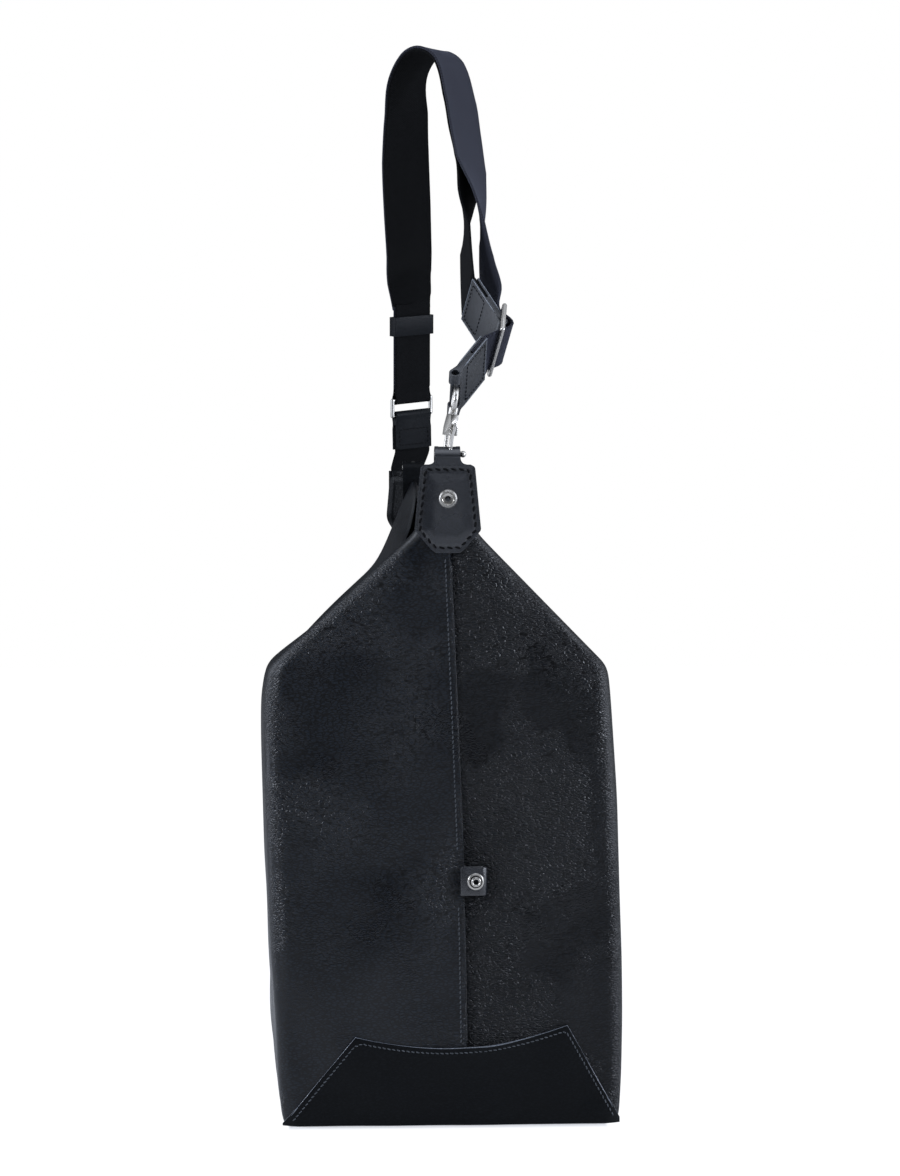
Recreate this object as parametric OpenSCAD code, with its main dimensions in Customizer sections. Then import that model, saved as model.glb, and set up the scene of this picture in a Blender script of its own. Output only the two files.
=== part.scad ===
// Leather shoulder bag with an adjustable webbing strap.
// The origin is at the middle of the underside. Z is up and Y runs along the bag.

/* [Bag] */
// Length of the bag between its end faces
bag_length = 460; // [380:5:560]
// Width across the shoulders
bag_width = 242; // [200:2:290]
// Width across the base
base_width = 236; // [196:2:280]
// Height of the shoulders
shoulder_height = 323; // [260:1:390]
// Height at which the two roof slopes would meet
roof_height = 437; // [370:1:500]
// Height of the pinched tips at both ends of the mouth
tip_height = 461; // [400:1:520]
// Half of the mouth's width at the middle of the bag
mouth_half_width = 34; // [24:1:50]
// Rounding of the shoulders
shoulder_radius = 14; // [6:1:20]
// Rounding of the upright corners
corner_radius = 11; // [6:1:20]

/* [Leather] */
// Thickness of the body leather
leather = 2.6; // [1.8:0.1:3.4]
// Thickness of the base leather
base_leather = 1.8; // [1.2:0.1:3]
// Thickness of the end tabs and of the side loops
tab_leather = 2.2; // [1.6:0.1:3]
// Thickness of the lining
lining_cloth = 0.8; // [0.5:0.1:1.2]
// Thickness of the facing round the mouth
facing_leather = 1.2; // [0.8:0.1:2]
// Width of the facing round the mouth
facing_width = 22; // [12:1:34]
// Thickness of the base board
board = 2.4; // [1.5:0.1:4]
// How far the end seam moves sideways between the tip and the base
seam_lean = 15; // [0:1:18]

/* [Base flap] */
// Height of the flap's corners
flap_height = 66; // [50:1:85]
// Dip of the flap's upper edge at its middle
flap_dip = 11; // [0:1:18]
// Half of the flap's width at its upper edge
flap_half_width = 74; // [60:1:86]

/* [End tabs] */
// Half of the tab's width at its widest
tab_half_width = 23.4; // [19:0.2:28]
// Half of the tab's width at its upper edge
tab_top_half_width = 19; // [15:0.2:22]
// Height of the tab's patch
tab_patch_height = 59; // [50:1:66]
// Width of the folded neck
neck_width = 18.2; // [17:0.2:21]
// Height of the neck above the tip
neck_rise = 15; // [14:0.5:18]
// Width of the slot for the hook
slot_width = 13; // [12.5:0.1:13.4]
// Diameter of the tab pin
pin_diameter = 4; // [3:0.1:4.4]

/* [Press studs] */
// Diameter of the stud sockets on the tabs
socket_diameter = 13; // [11:0.5:16]
// Diameter of the studs on the side loops
stud_diameter = 12; // [10:0.5:15]
// Diameter of the rivet posts
rivet_diameter = 3.6; // [2.5:0.1:4]
// Height of the socket's centre below the tip
socket_drop = 21; // [18:0.5:26]
// Height of the side loop's stud
side_stud_height = 172; // [140:1:200]
// Width of the side loop
side_loop_width = 19; // [16:0.5:24]
// Height of the side loop
side_loop_height = 20; // [16:0.5:24]
// How far the side loop stands off the end face
side_loop_depth = 10; // [9.6:0.2:13]

/* [Strap] */
// Width of the webbing
webbing_width = 38; // [30:1:40]
// Thickness of the webbing
webbing = 1.7; // [1.2:0.1:2]
// Thickness of the leather on the strap
strap_leather = 1.6; // [1.2:0.1:2]
// Thickness of the rings' wire
ring_wire = 3.4; // [3:0.1:4.2]
// Length of the slider along the strap
slider_length = 30; // [26:1:34]
// Height of the keeper
keeper_height = 16; // [12:1:20]

/* [Snap hooks] */
// Thickness of the hook's wire
hook_wire = 2.7; // [2.2:0.1:2.8]
// Free width inside the hook's claw
claw_gap = 7.2; // [6.8:0.1:7.4]
// Length from the pin to the bar of the hook's eye
hook_reach = 46; // [44:0.5:50]
// Lean of the near hook to the right
near_hook_lean = 8; // [0:1:10]
// Turn of the near hook about its own axis
near_hook_turn = 20; // [0:1:24]
// Fall of the far hook, measured from upright
far_hook_fall = 130; // [126:1:132]

/* [Hidden] */
$fn = 48;
half_length = bag_length / 2;
fit = 0.3;
ply_gap = 0.2;

// Openings at the ends
cavity_radius = 6.3;
neck_radius = cavity_radius + tab_leather;
arch_z = tip_height + neck_rise - neck_radius;
pin_y = half_length - cavity_radius;
pin_z = arch_z + cavity_radius - 0.4 - pin_diameter / 2;
tip_depth = 2 * cavity_radius;
socket_z = tip_height - socket_drop;
seam_foot_x = seam_lean;

// Snap hooks, measured from the pin's centre
claw_r = (claw_gap + hook_wire) / 2;
claw_z = claw_gap / 2 - pin_diameter / 2 - 0.35;
block_z = 13.5;
block_h = 14.5;
pivot = [0, -2.6, block_z + 4];
slot_h = 7.5;
gate_thickness = 2.2;
eye_r = 7.5;
eye_wire = 3.8;
eye_z = hook_reach - eye_r;
eye_notch = 2 * eye_r + eye_wire + 1.5;

leather_color = "#20262b";
base_color = "#14171a";
webbing_color = "#1b1c20";
metal_color = "#c9ccd0";

// ---- Helpers ----

function unit(v) = v / norm(v);
function square_to(v, along) = unit(v - (v * along) * along);
function arc(center, radius, from, to, steps = 5) =
    [for (i = [0 : steps])
        let (a = from + (to - from) * i / steps)
        center + radius * [cos(a), sin(a)]];

// Local X is the width, local Z the length, local Y the face of a strap piece
module on_strap(at, along, across) {
    l = unit(along);
    w = square_to(across, l);
    n = cross(l, w);
    multmatrix([
        [w.x, n.x, l.x, at.x],
        [w.y, n.y, l.y, at.y],
        [w.z, n.z, l.z, at.z]
    ])
        children();
}

module at_far_end() {
    mirror([0, 1, 0])
        children();
}

// Draws a profile given in X and Z, from y0 towards +Y
module slab(y0, thickness) {
    translate([0, y0 + thickness, 0])
        rotate([90, 0, 0])
            linear_extrude(thickness)
                children();
}

module rod(from, to, radius) {
    v = to - from;
    translate(from)
        rotate([0, acos(v.z / norm(v)), atan2(v.y, v.x)])
            cylinder(h = norm(v), r = radius);
    for (end = [from, to])
        translate(end)
            sphere(r = radius);
}

// ---- Body ----

// House-shaped section of the bag, drawn inset by a wall
module section(inset) {
    wb = base_width / 2 - inset;
    ws = bag_width / 2 - inset;
    slope = atan2(roof_height - shoulder_height, bag_width / 2);
    peak = roof_height - inset / cos(slope);
    r = shoulder_radius - inset / 2;
    rise = r * tan((90 - slope) / 2);
    polygon(concat(
        [[-wb, 0], [wb, 0]],
        arc([ws - r, shoulder_height - rise], r, 0, 90 - slope),
        [[0, peak]],
        arc([r - ws, shoulder_height - rise], r, 90 + slope, 180)
    ));
}

module plan(inset, height) {
    r = corner_radius - inset / 2;
    x = base_width / 2 + 4 - inset;
    y = half_length - inset;
    linear_extrude(height) {
        square([2 * x, 2 * (y - r)], center = true);
        square([2 * (x - r), 2 * y], center = true);
        for (sx = [-1, 1], sy = [-1, 1])
            translate([sx * (x - r), sy * (y - r)])
                circle(r = r);
    }
}

module body_block(inset, floor_z) {
    intersection() {
        slab(inset - half_length, bag_length - 2 * inset)
            section(inset);
        translate([0, 0, floor_z])
            plan(inset, roof_height);
    }
}

// Lens-shaped mouth: the common part of two cylinders
module mouth(extra) {
    gap = mouth_half_width + extra;
    reach = half_length - tip_depth + 4 + extra / 4;
    r = (reach * reach + gap * gap) / (2 * gap);
    translate([0, 0, shoulder_height])
        intersection() {
            translate([gap - r, 0, 0])
                cylinder(h = roof_height, r = r, $fn = 256);
            translate([r - gap, 0, 0])
                cylinder(h = roof_height, r = r, $fn = 256);
        }
}

module socket_bore() {
    translate([0, -half_length - 10, socket_z])
        rotate([-90, 0, 0])
            cylinder(h = 40, d = rivet_diameter + 2 * ply_gap);
}

// Seam plane between the two body panels, as its X at a height
function seam_x(z) = seam_foot_x * max(0, 1 - z / (roof_height - 42));

// One half of the house-shaped section: side is 1 for the right and -1 for the left
module half_section(side) {
    wb = base_width / 2;
    ws = bag_width / 2;
    slope = atan2(roof_height - shoulder_height, ws);
    r = shoulder_radius;
    rise = r * tan((90 - slope) / 2);
    shoulder = arc([ws - r, shoulder_height - rise], r, 0, 90 - slope);
    polygon(concat(
        [[seam_foot_x, 0], [side * wb, 0]],
        [for (p = shoulder) [side * p.x, p.y]],
        [[0, roof_height], [0, roof_height - 42]]
    ));
}

module half_tip(side) {
    polygon([[0, roof_height - 42], [side * 29, roof_height - 42], [side * 14, roof_height - 3],
             [side * 10, tip_height], [0, tip_height]]);
}

module body_panel(side) {
    color(leather_color)
        difference() {
            union() {
                intersection() {
                    slab(-half_length, bag_length)
                        half_section(side);
                    translate([0, 0, base_leather])
                        plan(0, roof_height);
                }
                slab(-half_length, tip_depth)
                    half_tip(side);
                slab(half_length - tip_depth, tip_depth)
                    half_tip(side);
            }
            difference() {
                body_block(leather, -1);
                tip_blocks();
            }
            tab_room();
            mouth(0);
            socket_bore();
            at_far_end() socket_bore();
            at_far_end() hook_slot(-1);
        }
}

// The solid ends of the roof that the tabs are riveted to
module tip_blocks() {
    for (end = [-1, 1])
        translate([0, end * (half_length - tip_depth / 2), roof_height])
            cube([bag_width, tip_depth, 84], center = true);
}

// Room behind those ends for the tab's back ply and its cap
module tab_room() {
    depth = tab_leather + 2.4;
    for (end = [-1, 1])
        translate([0, end * (half_length - tip_depth - depth / 2), roof_height])
            cube([neck_width + 1, depth, 84], center = true);
}

module left_body_panel() { body_panel(-1); }
module right_body_panel() { body_panel(1); }

module base_flap() {
    w = base_width / 2 - corner_radius;
    dip_r = (pow(flap_half_width, 2) + pow(flap_dip, 2)) / (2 * flap_dip);
    spread = asin(flap_half_width / dip_r);
    slab(-half_length - base_leather, base_leather)
        translate([seam_foot_x / 2, 0])
            polygon(concat(
                [[-w, 0], [w - seam_foot_x, 0], [flap_half_width, flap_height]],
                arc([0, flap_height - flap_dip + dip_r], dip_r, 270 + spread, 270 - spread, 8)
            ));
}

module base_panel() {
    color(base_color) {
        intersection() {
            slab(-half_length, bag_length)
                section(0);
            plan(0, base_leather);
        }
        base_flap();
        at_far_end() base_flap();
    }
}

module base_board() {
    inset = leather + lining_cloth + fit;
    color("#3a3128")
        translate([0, 0, base_leather + lining_cloth])
            intersection() {
                plan(inset, board);
                cube([base_width - 2 * inset, bag_length, 3 * board], center = true);
            }
}

module lining() {
    color("#2b2d31")
        difference() {
            body_block(leather, base_leather);
            body_block(leather + lining_cloth, base_leather + lining_cloth);
            tip_blocks();
            tab_room();
            mouth(facing_width);
            socket_bore();
            at_far_end() socket_bore();
        }
}

module facing(side) {
    color(leather_color)
        intersection() {
            difference() {
                body_block(leather, base_leather);
                body_block(leather + facing_leather, -1);
                mouth(0);
                socket_bore();
                at_far_end() socket_bore();
                tip_blocks();
                tab_room();
            }
            mouth(facing_width - ply_gap);
            slab(-bag_length, 2 * bag_length)
                polygon([[0, 0], [0, tip_height], [side * bag_width, tip_height], [side * bag_width, 0]]);
        }
}

module left_mouth_facing() { facing(-1); }
module right_mouth_facing() { facing(1); }

// ---- End tabs ----

// Slot for the hook: side is 1 when it faces the bag and -1 when it faces outward
module hook_slot(side) {
    depth = cavity_radius + neck_radius + 3;
    floor_z = side > 0 ? tip_height + 0.5 : tip_height - 6;
    translate([-slot_width / 2, side > 0 ? -pin_y - cavity_radius : -pin_y + cavity_radius - depth, floor_z])
        cube([slot_width, depth, neck_rise + 10]);
}

module end_tab(slot_side) {
    top = tip_height;
    widest = top - 0.73 * tab_patch_height;
    foot = top - tab_patch_height;
    color(leather_color)
        difference() {
            union() {
                slab(-half_length - tab_leather, tab_leather)
                    polygon([[-tab_top_half_width, top], [-tab_half_width, widest], [-10, foot],
                             [10, foot], [tab_half_width, widest], [tab_top_half_width, top]]);
                slab(-half_length - tab_leather, tab_leather)
                    translate([-neck_width / 2, top - 1])
                        square([neck_width, arch_z - top + 1]);
                slab(-half_length + 2 * cavity_radius, tab_leather)
                    translate([-neck_width / 2, top - 30])
                        square([neck_width, arch_z - top + 30]);
                translate([-neck_width / 2, -pin_y, arch_z])
                    rotate([90, 0, 90])
                        rotate_extrude_half(cavity_radius, neck_radius, neck_width);
            }
            hook_slot(slot_side);
            translate([-neck_width, -pin_y, pin_z])
                rotate([0, 90, 0])
                    cylinder(h = 2 * neck_width, d = pin_diameter + 0.2);
            socket_bore();
        }
}

// Half tube whose flat side is down, drawn in X and Y and then stood up
module rotate_extrude_half(inner, outer, width) {
    linear_extrude(width)
        difference() {
            intersection() {
                circle(r = outer);
                translate([-outer, 0])
                    square([2 * outer, outer]);
            }
            circle(r = inner);
        }
}

module near_end_tab() { end_tab(1); }
module far_end_tab() { at_far_end() end_tab(-1); }

// Steel pin with a ball head on the right
module tab_pin() {
    ball = 1.15 * pin_diameter;
    color(metal_color)
        translate([0, -pin_y, pin_z])
            rotate([0, 90, 0]) {
                translate([0, 0, -neck_width / 2])
                    cylinder(h = neck_width + 2, d = pin_diameter);
                translate([0, 0, neck_width / 2 + 2])
                    sphere(d = ball);
            }
}

module near_tab_pin() { tab_pin(); }
module far_tab_pin() { at_far_end() tab_pin(); }

module stud_socket() {
    r = socket_diameter / 2;
    post = rivet_diameter / 2;
    color(metal_color)
        translate([0, -half_length - tab_leather, socket_z])
            rotate([90, 0, 0])
                rotate_extrude()
                    polygon([[0, -tab_leather - tip_depth - tab_leather - 0.5], [post, -tab_leather - tip_depth - tab_leather - 0.5],
                             [post, 0], [r, 0], [r, 1.4], [r - 1, 2.6], [r - 2.2, 2.6],
                             [r - 2.8, 1], [2, 0.6], [1, 0.6], [1, -0.6], [0, -0.6]]);
}

module near_stud_socket() { stud_socket(); }
module far_stud_socket() { at_far_end() stud_socket(); }

module socket_cap() {
    r = socket_diameter / 2 - 1;
    back = -half_length + 2 * cavity_radius + tab_leather;
    color(metal_color)
        translate([0, back, socket_z])
            rotate([-90, 0, 0])
                rotate_extrude()
                    polygon([[rivet_diameter / 2 + 0.05, 0], [r, 0], [r - 0.8, 1], [0, 1.8], [0, 0.6], [rivet_diameter / 2 + 0.05, 0.6]]);
}

module near_socket_cap() { socket_cap(); }
module far_socket_cap() { at_far_end() socket_cap(); }

// ---- Side loops ----

module side_loop() {
    x0 = seam_x(side_stud_height);
    r = side_loop_depth / 2;
    color(leather_color)
        difference() {
            translate([x0, -half_length, side_stud_height - side_loop_height / 2])
                linear_extrude(side_loop_height)
                    difference() {
                        loop_outline(0);
                        loop_outline(tab_leather);
                    }
            side_stud_bore();
        }
}

// The loop seen from above: straight at the seam and round at its outer end
module loop_outline(inset) {
    r = side_loop_depth / 2 - inset;
    translate([inset, -side_loop_depth + inset])
        square([side_loop_width - side_loop_depth / 2 - inset, 2 * r]);
    translate([side_loop_width - side_loop_depth / 2, -side_loop_depth / 2])
        circle(r = r);
}

module side_stud_bore() {
    translate([seam_x(side_stud_height) + side_loop_width / 2 + 1, -half_length - side_loop_depth - 1, side_stud_height])
        rotate([-90, 0, 0])
            cylinder(h = tab_leather + 2, d = rivet_diameter + 2 * ply_gap);
}

module near_side_loop() { side_loop(); }
module far_side_loop() { at_far_end() side_loop(); }

module side_stud() {
    r = stud_diameter / 2;
    color(metal_color)
        translate([seam_x(side_stud_height) + side_loop_width / 2 + 1, -half_length - side_loop_depth, side_stud_height])
            rotate([90, 0, 0])
                rotate_extrude()
                    polygon([[0, -tab_leather - 1], [r - 2, -tab_leather - 1], [r - 2, -tab_leather], [rivet_diameter / 2, -tab_leather],
                             [rivet_diameter / 2, 0], [r, 0], [r, 0.8], [r - 1.2, 1.6], [r - 3.2, 1.6],
                             [r - 3.4, 2.6], [r - 2.6, 3.6], [r - 3, 4.8], [r - 4, 5.4], [0, 5.4]]);
}

module near_side_stud() { side_stud(); }
module far_side_stud() { at_far_end() side_stud(); }

// ---- Strap ----

slider_at = [39, -174, 554.5];
slider_along = unit([0.11, 0.73, 0.68]);
slider_across = square_to([-0.16, 0.71, -0.685], slider_along);
tab_along = square_to([-17.5, 30, 28], slider_across);
tab_length = 46;
chape_along = unit([25.6, 33.5, 30.5]);
chape_across = square_to([0, 0.67, -0.74], chape_along);
chape_length = 45;
far_across = unit([0.72, 0.69, 0]);
far_up = [0, 0, 1];
far_chape_length = 28;
keeper_at = [-0.5, 238, 590];
ring_at = [0, 249, 523];
strand_along = unit(ring_at - keeper_at);
strand_across = square_to([0.78, 0.62, 0.06], strand_along);
ring_length = 12.8;
ring_tab_length = 28;
short_along = square_to([-1, 4, -40], strand_across);

// Stations of the doubled webbing, from near the slider over the top to the far ring:
// the middle of the strap, and the direction across it from the nearer to the farther edge
shared_route = [
    [[26, -80, 690], [0.6, 0.78, -0.15]],
    [[23, -64, 717], [0.63, 0.76, -0.1]],
    [[20, -52, 742], [0.63, 0.76, 0]],
    [[13, -40, 771], [0.6, 0.8, 0]],
    [[2, -28, 781], [0.6, 0.8, 0]],
    [[-9, -14, 778], [0.66, 0.75, 0]],
    [[-17, -2, 761], [0.72, 0.69, 0]],
    [[-17, 14, 735], [0.83, 0.55, 0.05]],
    [[-16, 42, 709], [0.88, 0.45, 0.1]],
    [[-11, 108, 672], [0.94, 0.25, 0.2]],
    [[-7, 160, 646], [0.92, 0.3, 0.25]],
    [[-4, 212, 628], [0.86, 0.45, 0.15]],
    [keeper_at - 20 * strand_along, strand_across],
    [keeper_at - 14 * strand_along, strand_across],
    [keeper_at, strand_across],
    [(keeper_at + ring_at) / 2, strand_across],
    [ring_at - 16 * strand_along, strand_across]
];

// Middles of the hooks' pins and the directions from them to their eyes
near_pin = [0, -pin_y, pin_z];
far_pin = [0, pin_y, pin_z];
near_axis = [sin(near_hook_lean), 0, cos(near_hook_lean)];
far_axis = [0, sin(far_hook_fall), cos(far_hook_fall)];
far_eye_plane = unit(cross(far_axis, far_across));
far_eye_turn = atan2(far_eye_plane * [0, cos(far_hook_fall), -sin(far_hook_fall)], far_eye_plane.x);
near_fold_at = near_pin + eye_z * near_axis + eye_r * [0, 0.74, 0.67];
far_fold_at = far_pin + eye_z * far_axis + eye_r * cross(far_across, far_eye_plane);

layer = (webbing + ply_gap) / 2;
slider_bar = (slider_length - ring_wire) / 2;
bar_clearance = (ring_wire + webbing) / 2 + fit + 0.6;

// A point beside the slider: off its face by y and along it by z
function slider_point(y, z) = slider_at + y * cross(slider_along, slider_across) + z * slider_along;

// The webbing's end between the plies of a folded leather, and its way out
function held_end(at, along, across, length) =
    [for (z = [length - 18, length, length + 3]) [at + z * along, across]];

// Where one layer joins the doubled webbing, sunk a little into it: side is 1 for the inner layer
function joined_layer(side) =
    [for (i = [0, 1])
        let (l = heading(shared_route, i), w = square_to(shared_route[i][1], l))
        [shared_route[i][0] + side * (layer - 0.25) * cross(l, w), shared_route[i][1]]];

outer_start = concat(
    held_end(near_fold_at, chape_along, chape_across, chape_length),
    [
        [slider_point(bar_clearance + 0.5, -slider_bar), slider_across],
        [slider_point(-7.4, 0), slider_across],
        [slider_point(bar_clearance, slider_bar), slider_across],
        [[39.5, -146, 583], [-0.17, 0.74, -0.65]],
        [[35, -128, 607], [-0.17, 0.83, -0.53]],
        [[32.5, -111, 637], [0, 0.93, -0.36]],
        [[31, -96, 664], [0.32, 0.9, -0.3]]
    ],
    joined_layer(-1)
);
inner_start = concat(
    held_end(slider_at, tab_along, slider_across, tab_length),
    [
        [[20.5, -109, 632], [-0.1, 0.9, -0.4]],
        [[21.5, -94, 660], [0.32, 0.9, -0.3]]
    ],
    joined_layer(1)
);
short_start = ring_at + ring_length / 2 * strand_along;
short_route = concat(
    held_end(short_start, short_along, strand_across, ring_tab_length),
    [for (i = [2 : -1 : 0]) held_end(far_fold_at, far_up, far_across, far_chape_length)[i]]
);

function clampi(i, n) = max(0, min(n - 1, i));
function heading(route, i) =
    let (n = len(route))
    unit(route[clampi(i + 1, n)][0] - route[clampi(i - 1, n)][0]);

// A point of the smooth curve from a to b, leaving along from and arriving along to
function curve_point(a, b, from, to, t) =
    let (reach = norm(b - a))
    (2 * t * t * t - 3 * t * t + 1) * a + (3 * t * t - 2 * t * t * t) * b
    + reach * (t * t * t - 2 * t * t + t) * from + reach * (t * t * t - t * t) * to;
function smooth_route(route, steps = 4) =
    let (n = len(route))
    concat(
        [for (i = [0 : n - 2], k = [0 : steps - 1])
            let (a = route[i], b = route[i + 1], t = k / steps)
            [curve_point(a[0], b[0], heading(route, i), heading(route, i + 1), t),
             (1 - t) * a[1] + t * b[1]]],
        [route[n - 1]]
    );
function ring_of(route, i, width, thickness) =
    let (
        l = heading(route, i),
        w = square_to(route[i][1], l),
        n = cross(l, w),
        c = route[i][0]
    )
    [for (s = [[-1, -1], [1, -1], [1, 1], [-1, 1]]) c + s[0] * w * width / 2 + s[1] * n * thickness / 2];

// Flat ribbon along a route
module ribbon(route, width, thickness) {
    n = len(route);
    points = [for (i = [0 : n - 1]) each ring_of(route, i, width, thickness)];
    sides = [for (i = [0 : n - 2], k = [0 : 3])
        let (a = 4 * i + k, b = 4 * i + (k + 1) % 4)
        each [[a, a + 4, b], [b, a + 4, b + 4]]];
    polyhedron(points, concat([[0, 1, 2, 3]], sides, [[for (k = [3 : -1 : 0]) 4 * (n - 1) + k]]));
}

module long_webbing() {
    doubled = 2 * webbing + ply_gap;
    color(webbing_color) {
        ribbon(smooth_route(outer_start), webbing_width, webbing);
        ribbon(smooth_route(inner_start), webbing_width, webbing);
        ribbon(smooth_route(shared_route), webbing_width + 0.4, doubled);
        on_strap(ring_at - ring_length / 2 * strand_along, -strand_along, strand_across)
            folded_strip(ring_wire, webbing, doubled + 0.6, 10.5);
    }
}

// Rectangular wire ring, lying in local X and Z
module rectangle_ring(width, length, wire) {
    x = width / 2;
    z = length / 2;
    for (s = [-1, 1]) {
        rod([-x, 0, s * z], [x, 0, s * z], wire / 2);
        rod([s * x, 0, -z], [s * x, 0, z], wire / 2);
    }
}

module slider_frame() {
    color(metal_color)
        on_strap(slider_at, slider_along, slider_across) {
            rectangle_ring(webbing_width + ring_wire + 2, slider_length - ring_wire, ring_wire);
            rod([-webbing_width / 2 - 2, 0, 0], [webbing_width / 2 + 2, 0, 0], ring_wire / 2);
        }
}

// Strip folded round a wire: local X is the strap's width and local Z leads away from the wire
module folded_strip(wire, thickness, plies, length) {
    inner = wire / 2 + fit;
    outer = inner + thickness;
    difference() {
        union() {
            rotate([0, 90, 0])
                cylinder(h = webbing_width, r = outer, center = true);
            translate([-webbing_width / 2, 0, 0])
                rotate([90, 0, 90])
                    linear_extrude(webbing_width)
                        polygon([[-outer, 0], [outer, 0], [plies / 2, 1.6 * outer], [-plies / 2, 1.6 * outer]]);
            translate([-webbing_width / 2, -plies / 2, outer])
                cube([webbing_width, plies, length - outer]);
        }
        rotate([0, 90, 0])
            cylinder(h = webbing_width + 2, r = inner, center = true);
    }
}

// Folded leather that holds the webbing's end between its plies
module folded_leather(wire, length) {
    difference() {
        folded_strip(wire, strap_leather, webbing + 2 * strap_leather + 2 * ply_gap, length);
        translate([-webbing_width / 2 - 1, -webbing / 2 - ply_gap, length - 20])
            cube([webbing_width + 2, webbing + 2 * ply_gap, 30]);
    }
}

module near_chape() {
    color(leather_color)
        on_strap(near_fold_at, chape_along, chape_across)
            difference() {
                folded_leather(eye_wire + 1.2, chape_length);
                translate([-eye_notch / 2, -10, -10])
                    cube([eye_notch, 20, 10 + eye_wire / 2 - 0.6]);
            }
}

module slider_tab() {
    color(leather_color)
        on_strap(slider_at, tab_along, slider_across)
            folded_leather(ring_wire, tab_length);
}

module far_ring() {
    color(metal_color)
        on_strap(ring_at, strand_along, strand_across)
            rectangle_ring(webbing_width + ring_wire + 1, ring_length, ring_wire);
}

module far_ring_tab() {
    color(leather_color)
        on_strap(short_start, short_along, strand_across)
            folded_leather(ring_wire, ring_tab_length);
}

module short_webbing() {
    color(webbing_color)
        ribbon(smooth_route(short_route), webbing_width, webbing);
}

module far_chape() {
    color(leather_color)
        on_strap(far_fold_at, far_up, far_across)
            difference() {
                folded_leather(eye_wire + 1.2, far_chape_length);
                translate([-eye_notch / 2, -10, -10])
                    cube([eye_notch, 10, 18]);
            }
}

module keeper() {
    inner = [webbing_width + 1, 2 * webbing + ply_gap + 0.8];
    outer = inner + 2 * [strap_leather, strap_leather];
    color(leather_color)
        on_strap(keeper_at, strand_along, strand_across)
            translate([0, 0, -keeper_height / 2])
                linear_extrude(keeper_height)
                    difference() {
                        square(outer, center = true);
                        square(inner, center = true);
                    }
}

// ---- Snap hooks, with the pin's centre at the origin and the eye above ----

module near_hook_place() {
    translate([0, -pin_y, pin_z])
        rotate([0, near_hook_lean, 0])
            rotate([0, 0, near_hook_turn])
                children();
}

module far_hook_place() {
    translate([0, pin_y, pin_z])
        rotate([-far_hook_fall, 0, 0])
            children();
}

module hook_body() {
    color(metal_color)
        difference() {
            union() {
                translate([0, 0, claw_z])
                    rotate([90, 0, 90])
                        rotate([0, 0, 180])
                            rotate_extrude(angle = 180)
                                translate([claw_r, 0])
                                    circle(d = hook_wire);
                translate([0, claw_r, claw_z])
                    cylinder(h = block_z - claw_z + 1, d = hook_wire);
                translate([0, -claw_r, claw_z])
                    cylinder(h = 2.9, d = hook_wire);
                translate([-3, 0, 0])
                    rotate([90, 0, 90])
                        linear_extrude(6)
                            polygon([[-6, block_z], [6.3, block_z], [6.3, block_z + 6],
                                     [3.6, block_z + block_h], [-3.6, block_z + block_h], [-6, block_z + 6]]);
            }
            translate([-1.7, -20, block_z - 1])
                cube([3.4, 20.5, slot_h + 1]);
            translate([-5, pivot.y, pivot.z])
                rotate([0, 90, 0])
                    cylinder(h = 10, d = 1.8);
            translate([0, 0, block_z + 8.5])
                cylinder(h = 3, d = 5.2);
            translate([0, 0, block_z + 8.5])
                cylinder(h = 10, d = 3.4);
        }
}

module hook_gate() {
    color(metal_color)
        translate([-1.5, 0, 0])
            rotate([90, 0, 90])
                difference() {
                    linear_extrude(gate_thickness)
                        polygon([[-claw_r - 1.2, claw_z + 3.5], [-claw_r + 1.2, claw_z + 3.5],
                                 [-claw_r + 1.2, block_z], [-0.9, pivot.z - 2], [-0.9, pivot.z + 2],
                                 [-5.2, pivot.z + 2.2], [-7.2, pivot.z + 5], [-8.4, pivot.z + 5],
                                 [-8.4, pivot.z + 1], [-claw_r - 1.2, block_z]]);
                    translate([pivot.y, pivot.z, -1])
                        cylinder(h = 10, d = 2);
                }
}

module gate_pin() {
    color(metal_color)
        translate([-3.2, pivot.y, pivot.z])
            rotate([0, 90, 0])
                cylinder(h = 6.4, d = 1.8);
}

module gate_spring() {
    color("#8a8f95")
        translate([0.9, pivot.y, pivot.z])
            rotate([0, 90, 0])
                difference() {
                    cylinder(h = 0.6, d = 3.6);
                    translate([0, 0, -1])
                        cylinder(h = 3, d = 2);
                }
}

module hook_eye() {
    top = block_z + block_h + fit;
    color(metal_color) {
        translate([0, 0, block_z + 8.8])
            cylinder(h = 2.4, d = 4.6);
        translate([0, 0, block_z + 9.5])
            cylinder(h = 8, d = 2.8);
        translate([0, 0, top])
            cylinder(h = 4.5, d = 6.8);
        translate([0, 0, eye_z])
            rotate([0, 90, 0])
                rotate_extrude()
                    translate([eye_r, 0])
                        circle(d = eye_wire);
    }
}

module near_hook_eye() {
    near_hook_place()
        rotate([0, 0, -near_hook_turn])
            hook_eye();
}
module near_hook_body() { near_hook_place() hook_body(); }
module near_hook_gate() { near_hook_place() hook_gate(); }
module near_gate_pin() { near_hook_place() gate_pin(); }
module near_gate_spring() { near_hook_place() gate_spring(); }
module far_hook_eye() {
    far_hook_place()
        rotate([0, 0, far_eye_turn])
            hook_eye();
}
module far_hook_body() { far_hook_place() hook_body(); }
module far_hook_gate() { far_hook_place() hook_gate(); }
module far_gate_pin() { far_hook_place() gate_pin(); }
module far_gate_spring() { far_hook_place() gate_spring(); }

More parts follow.
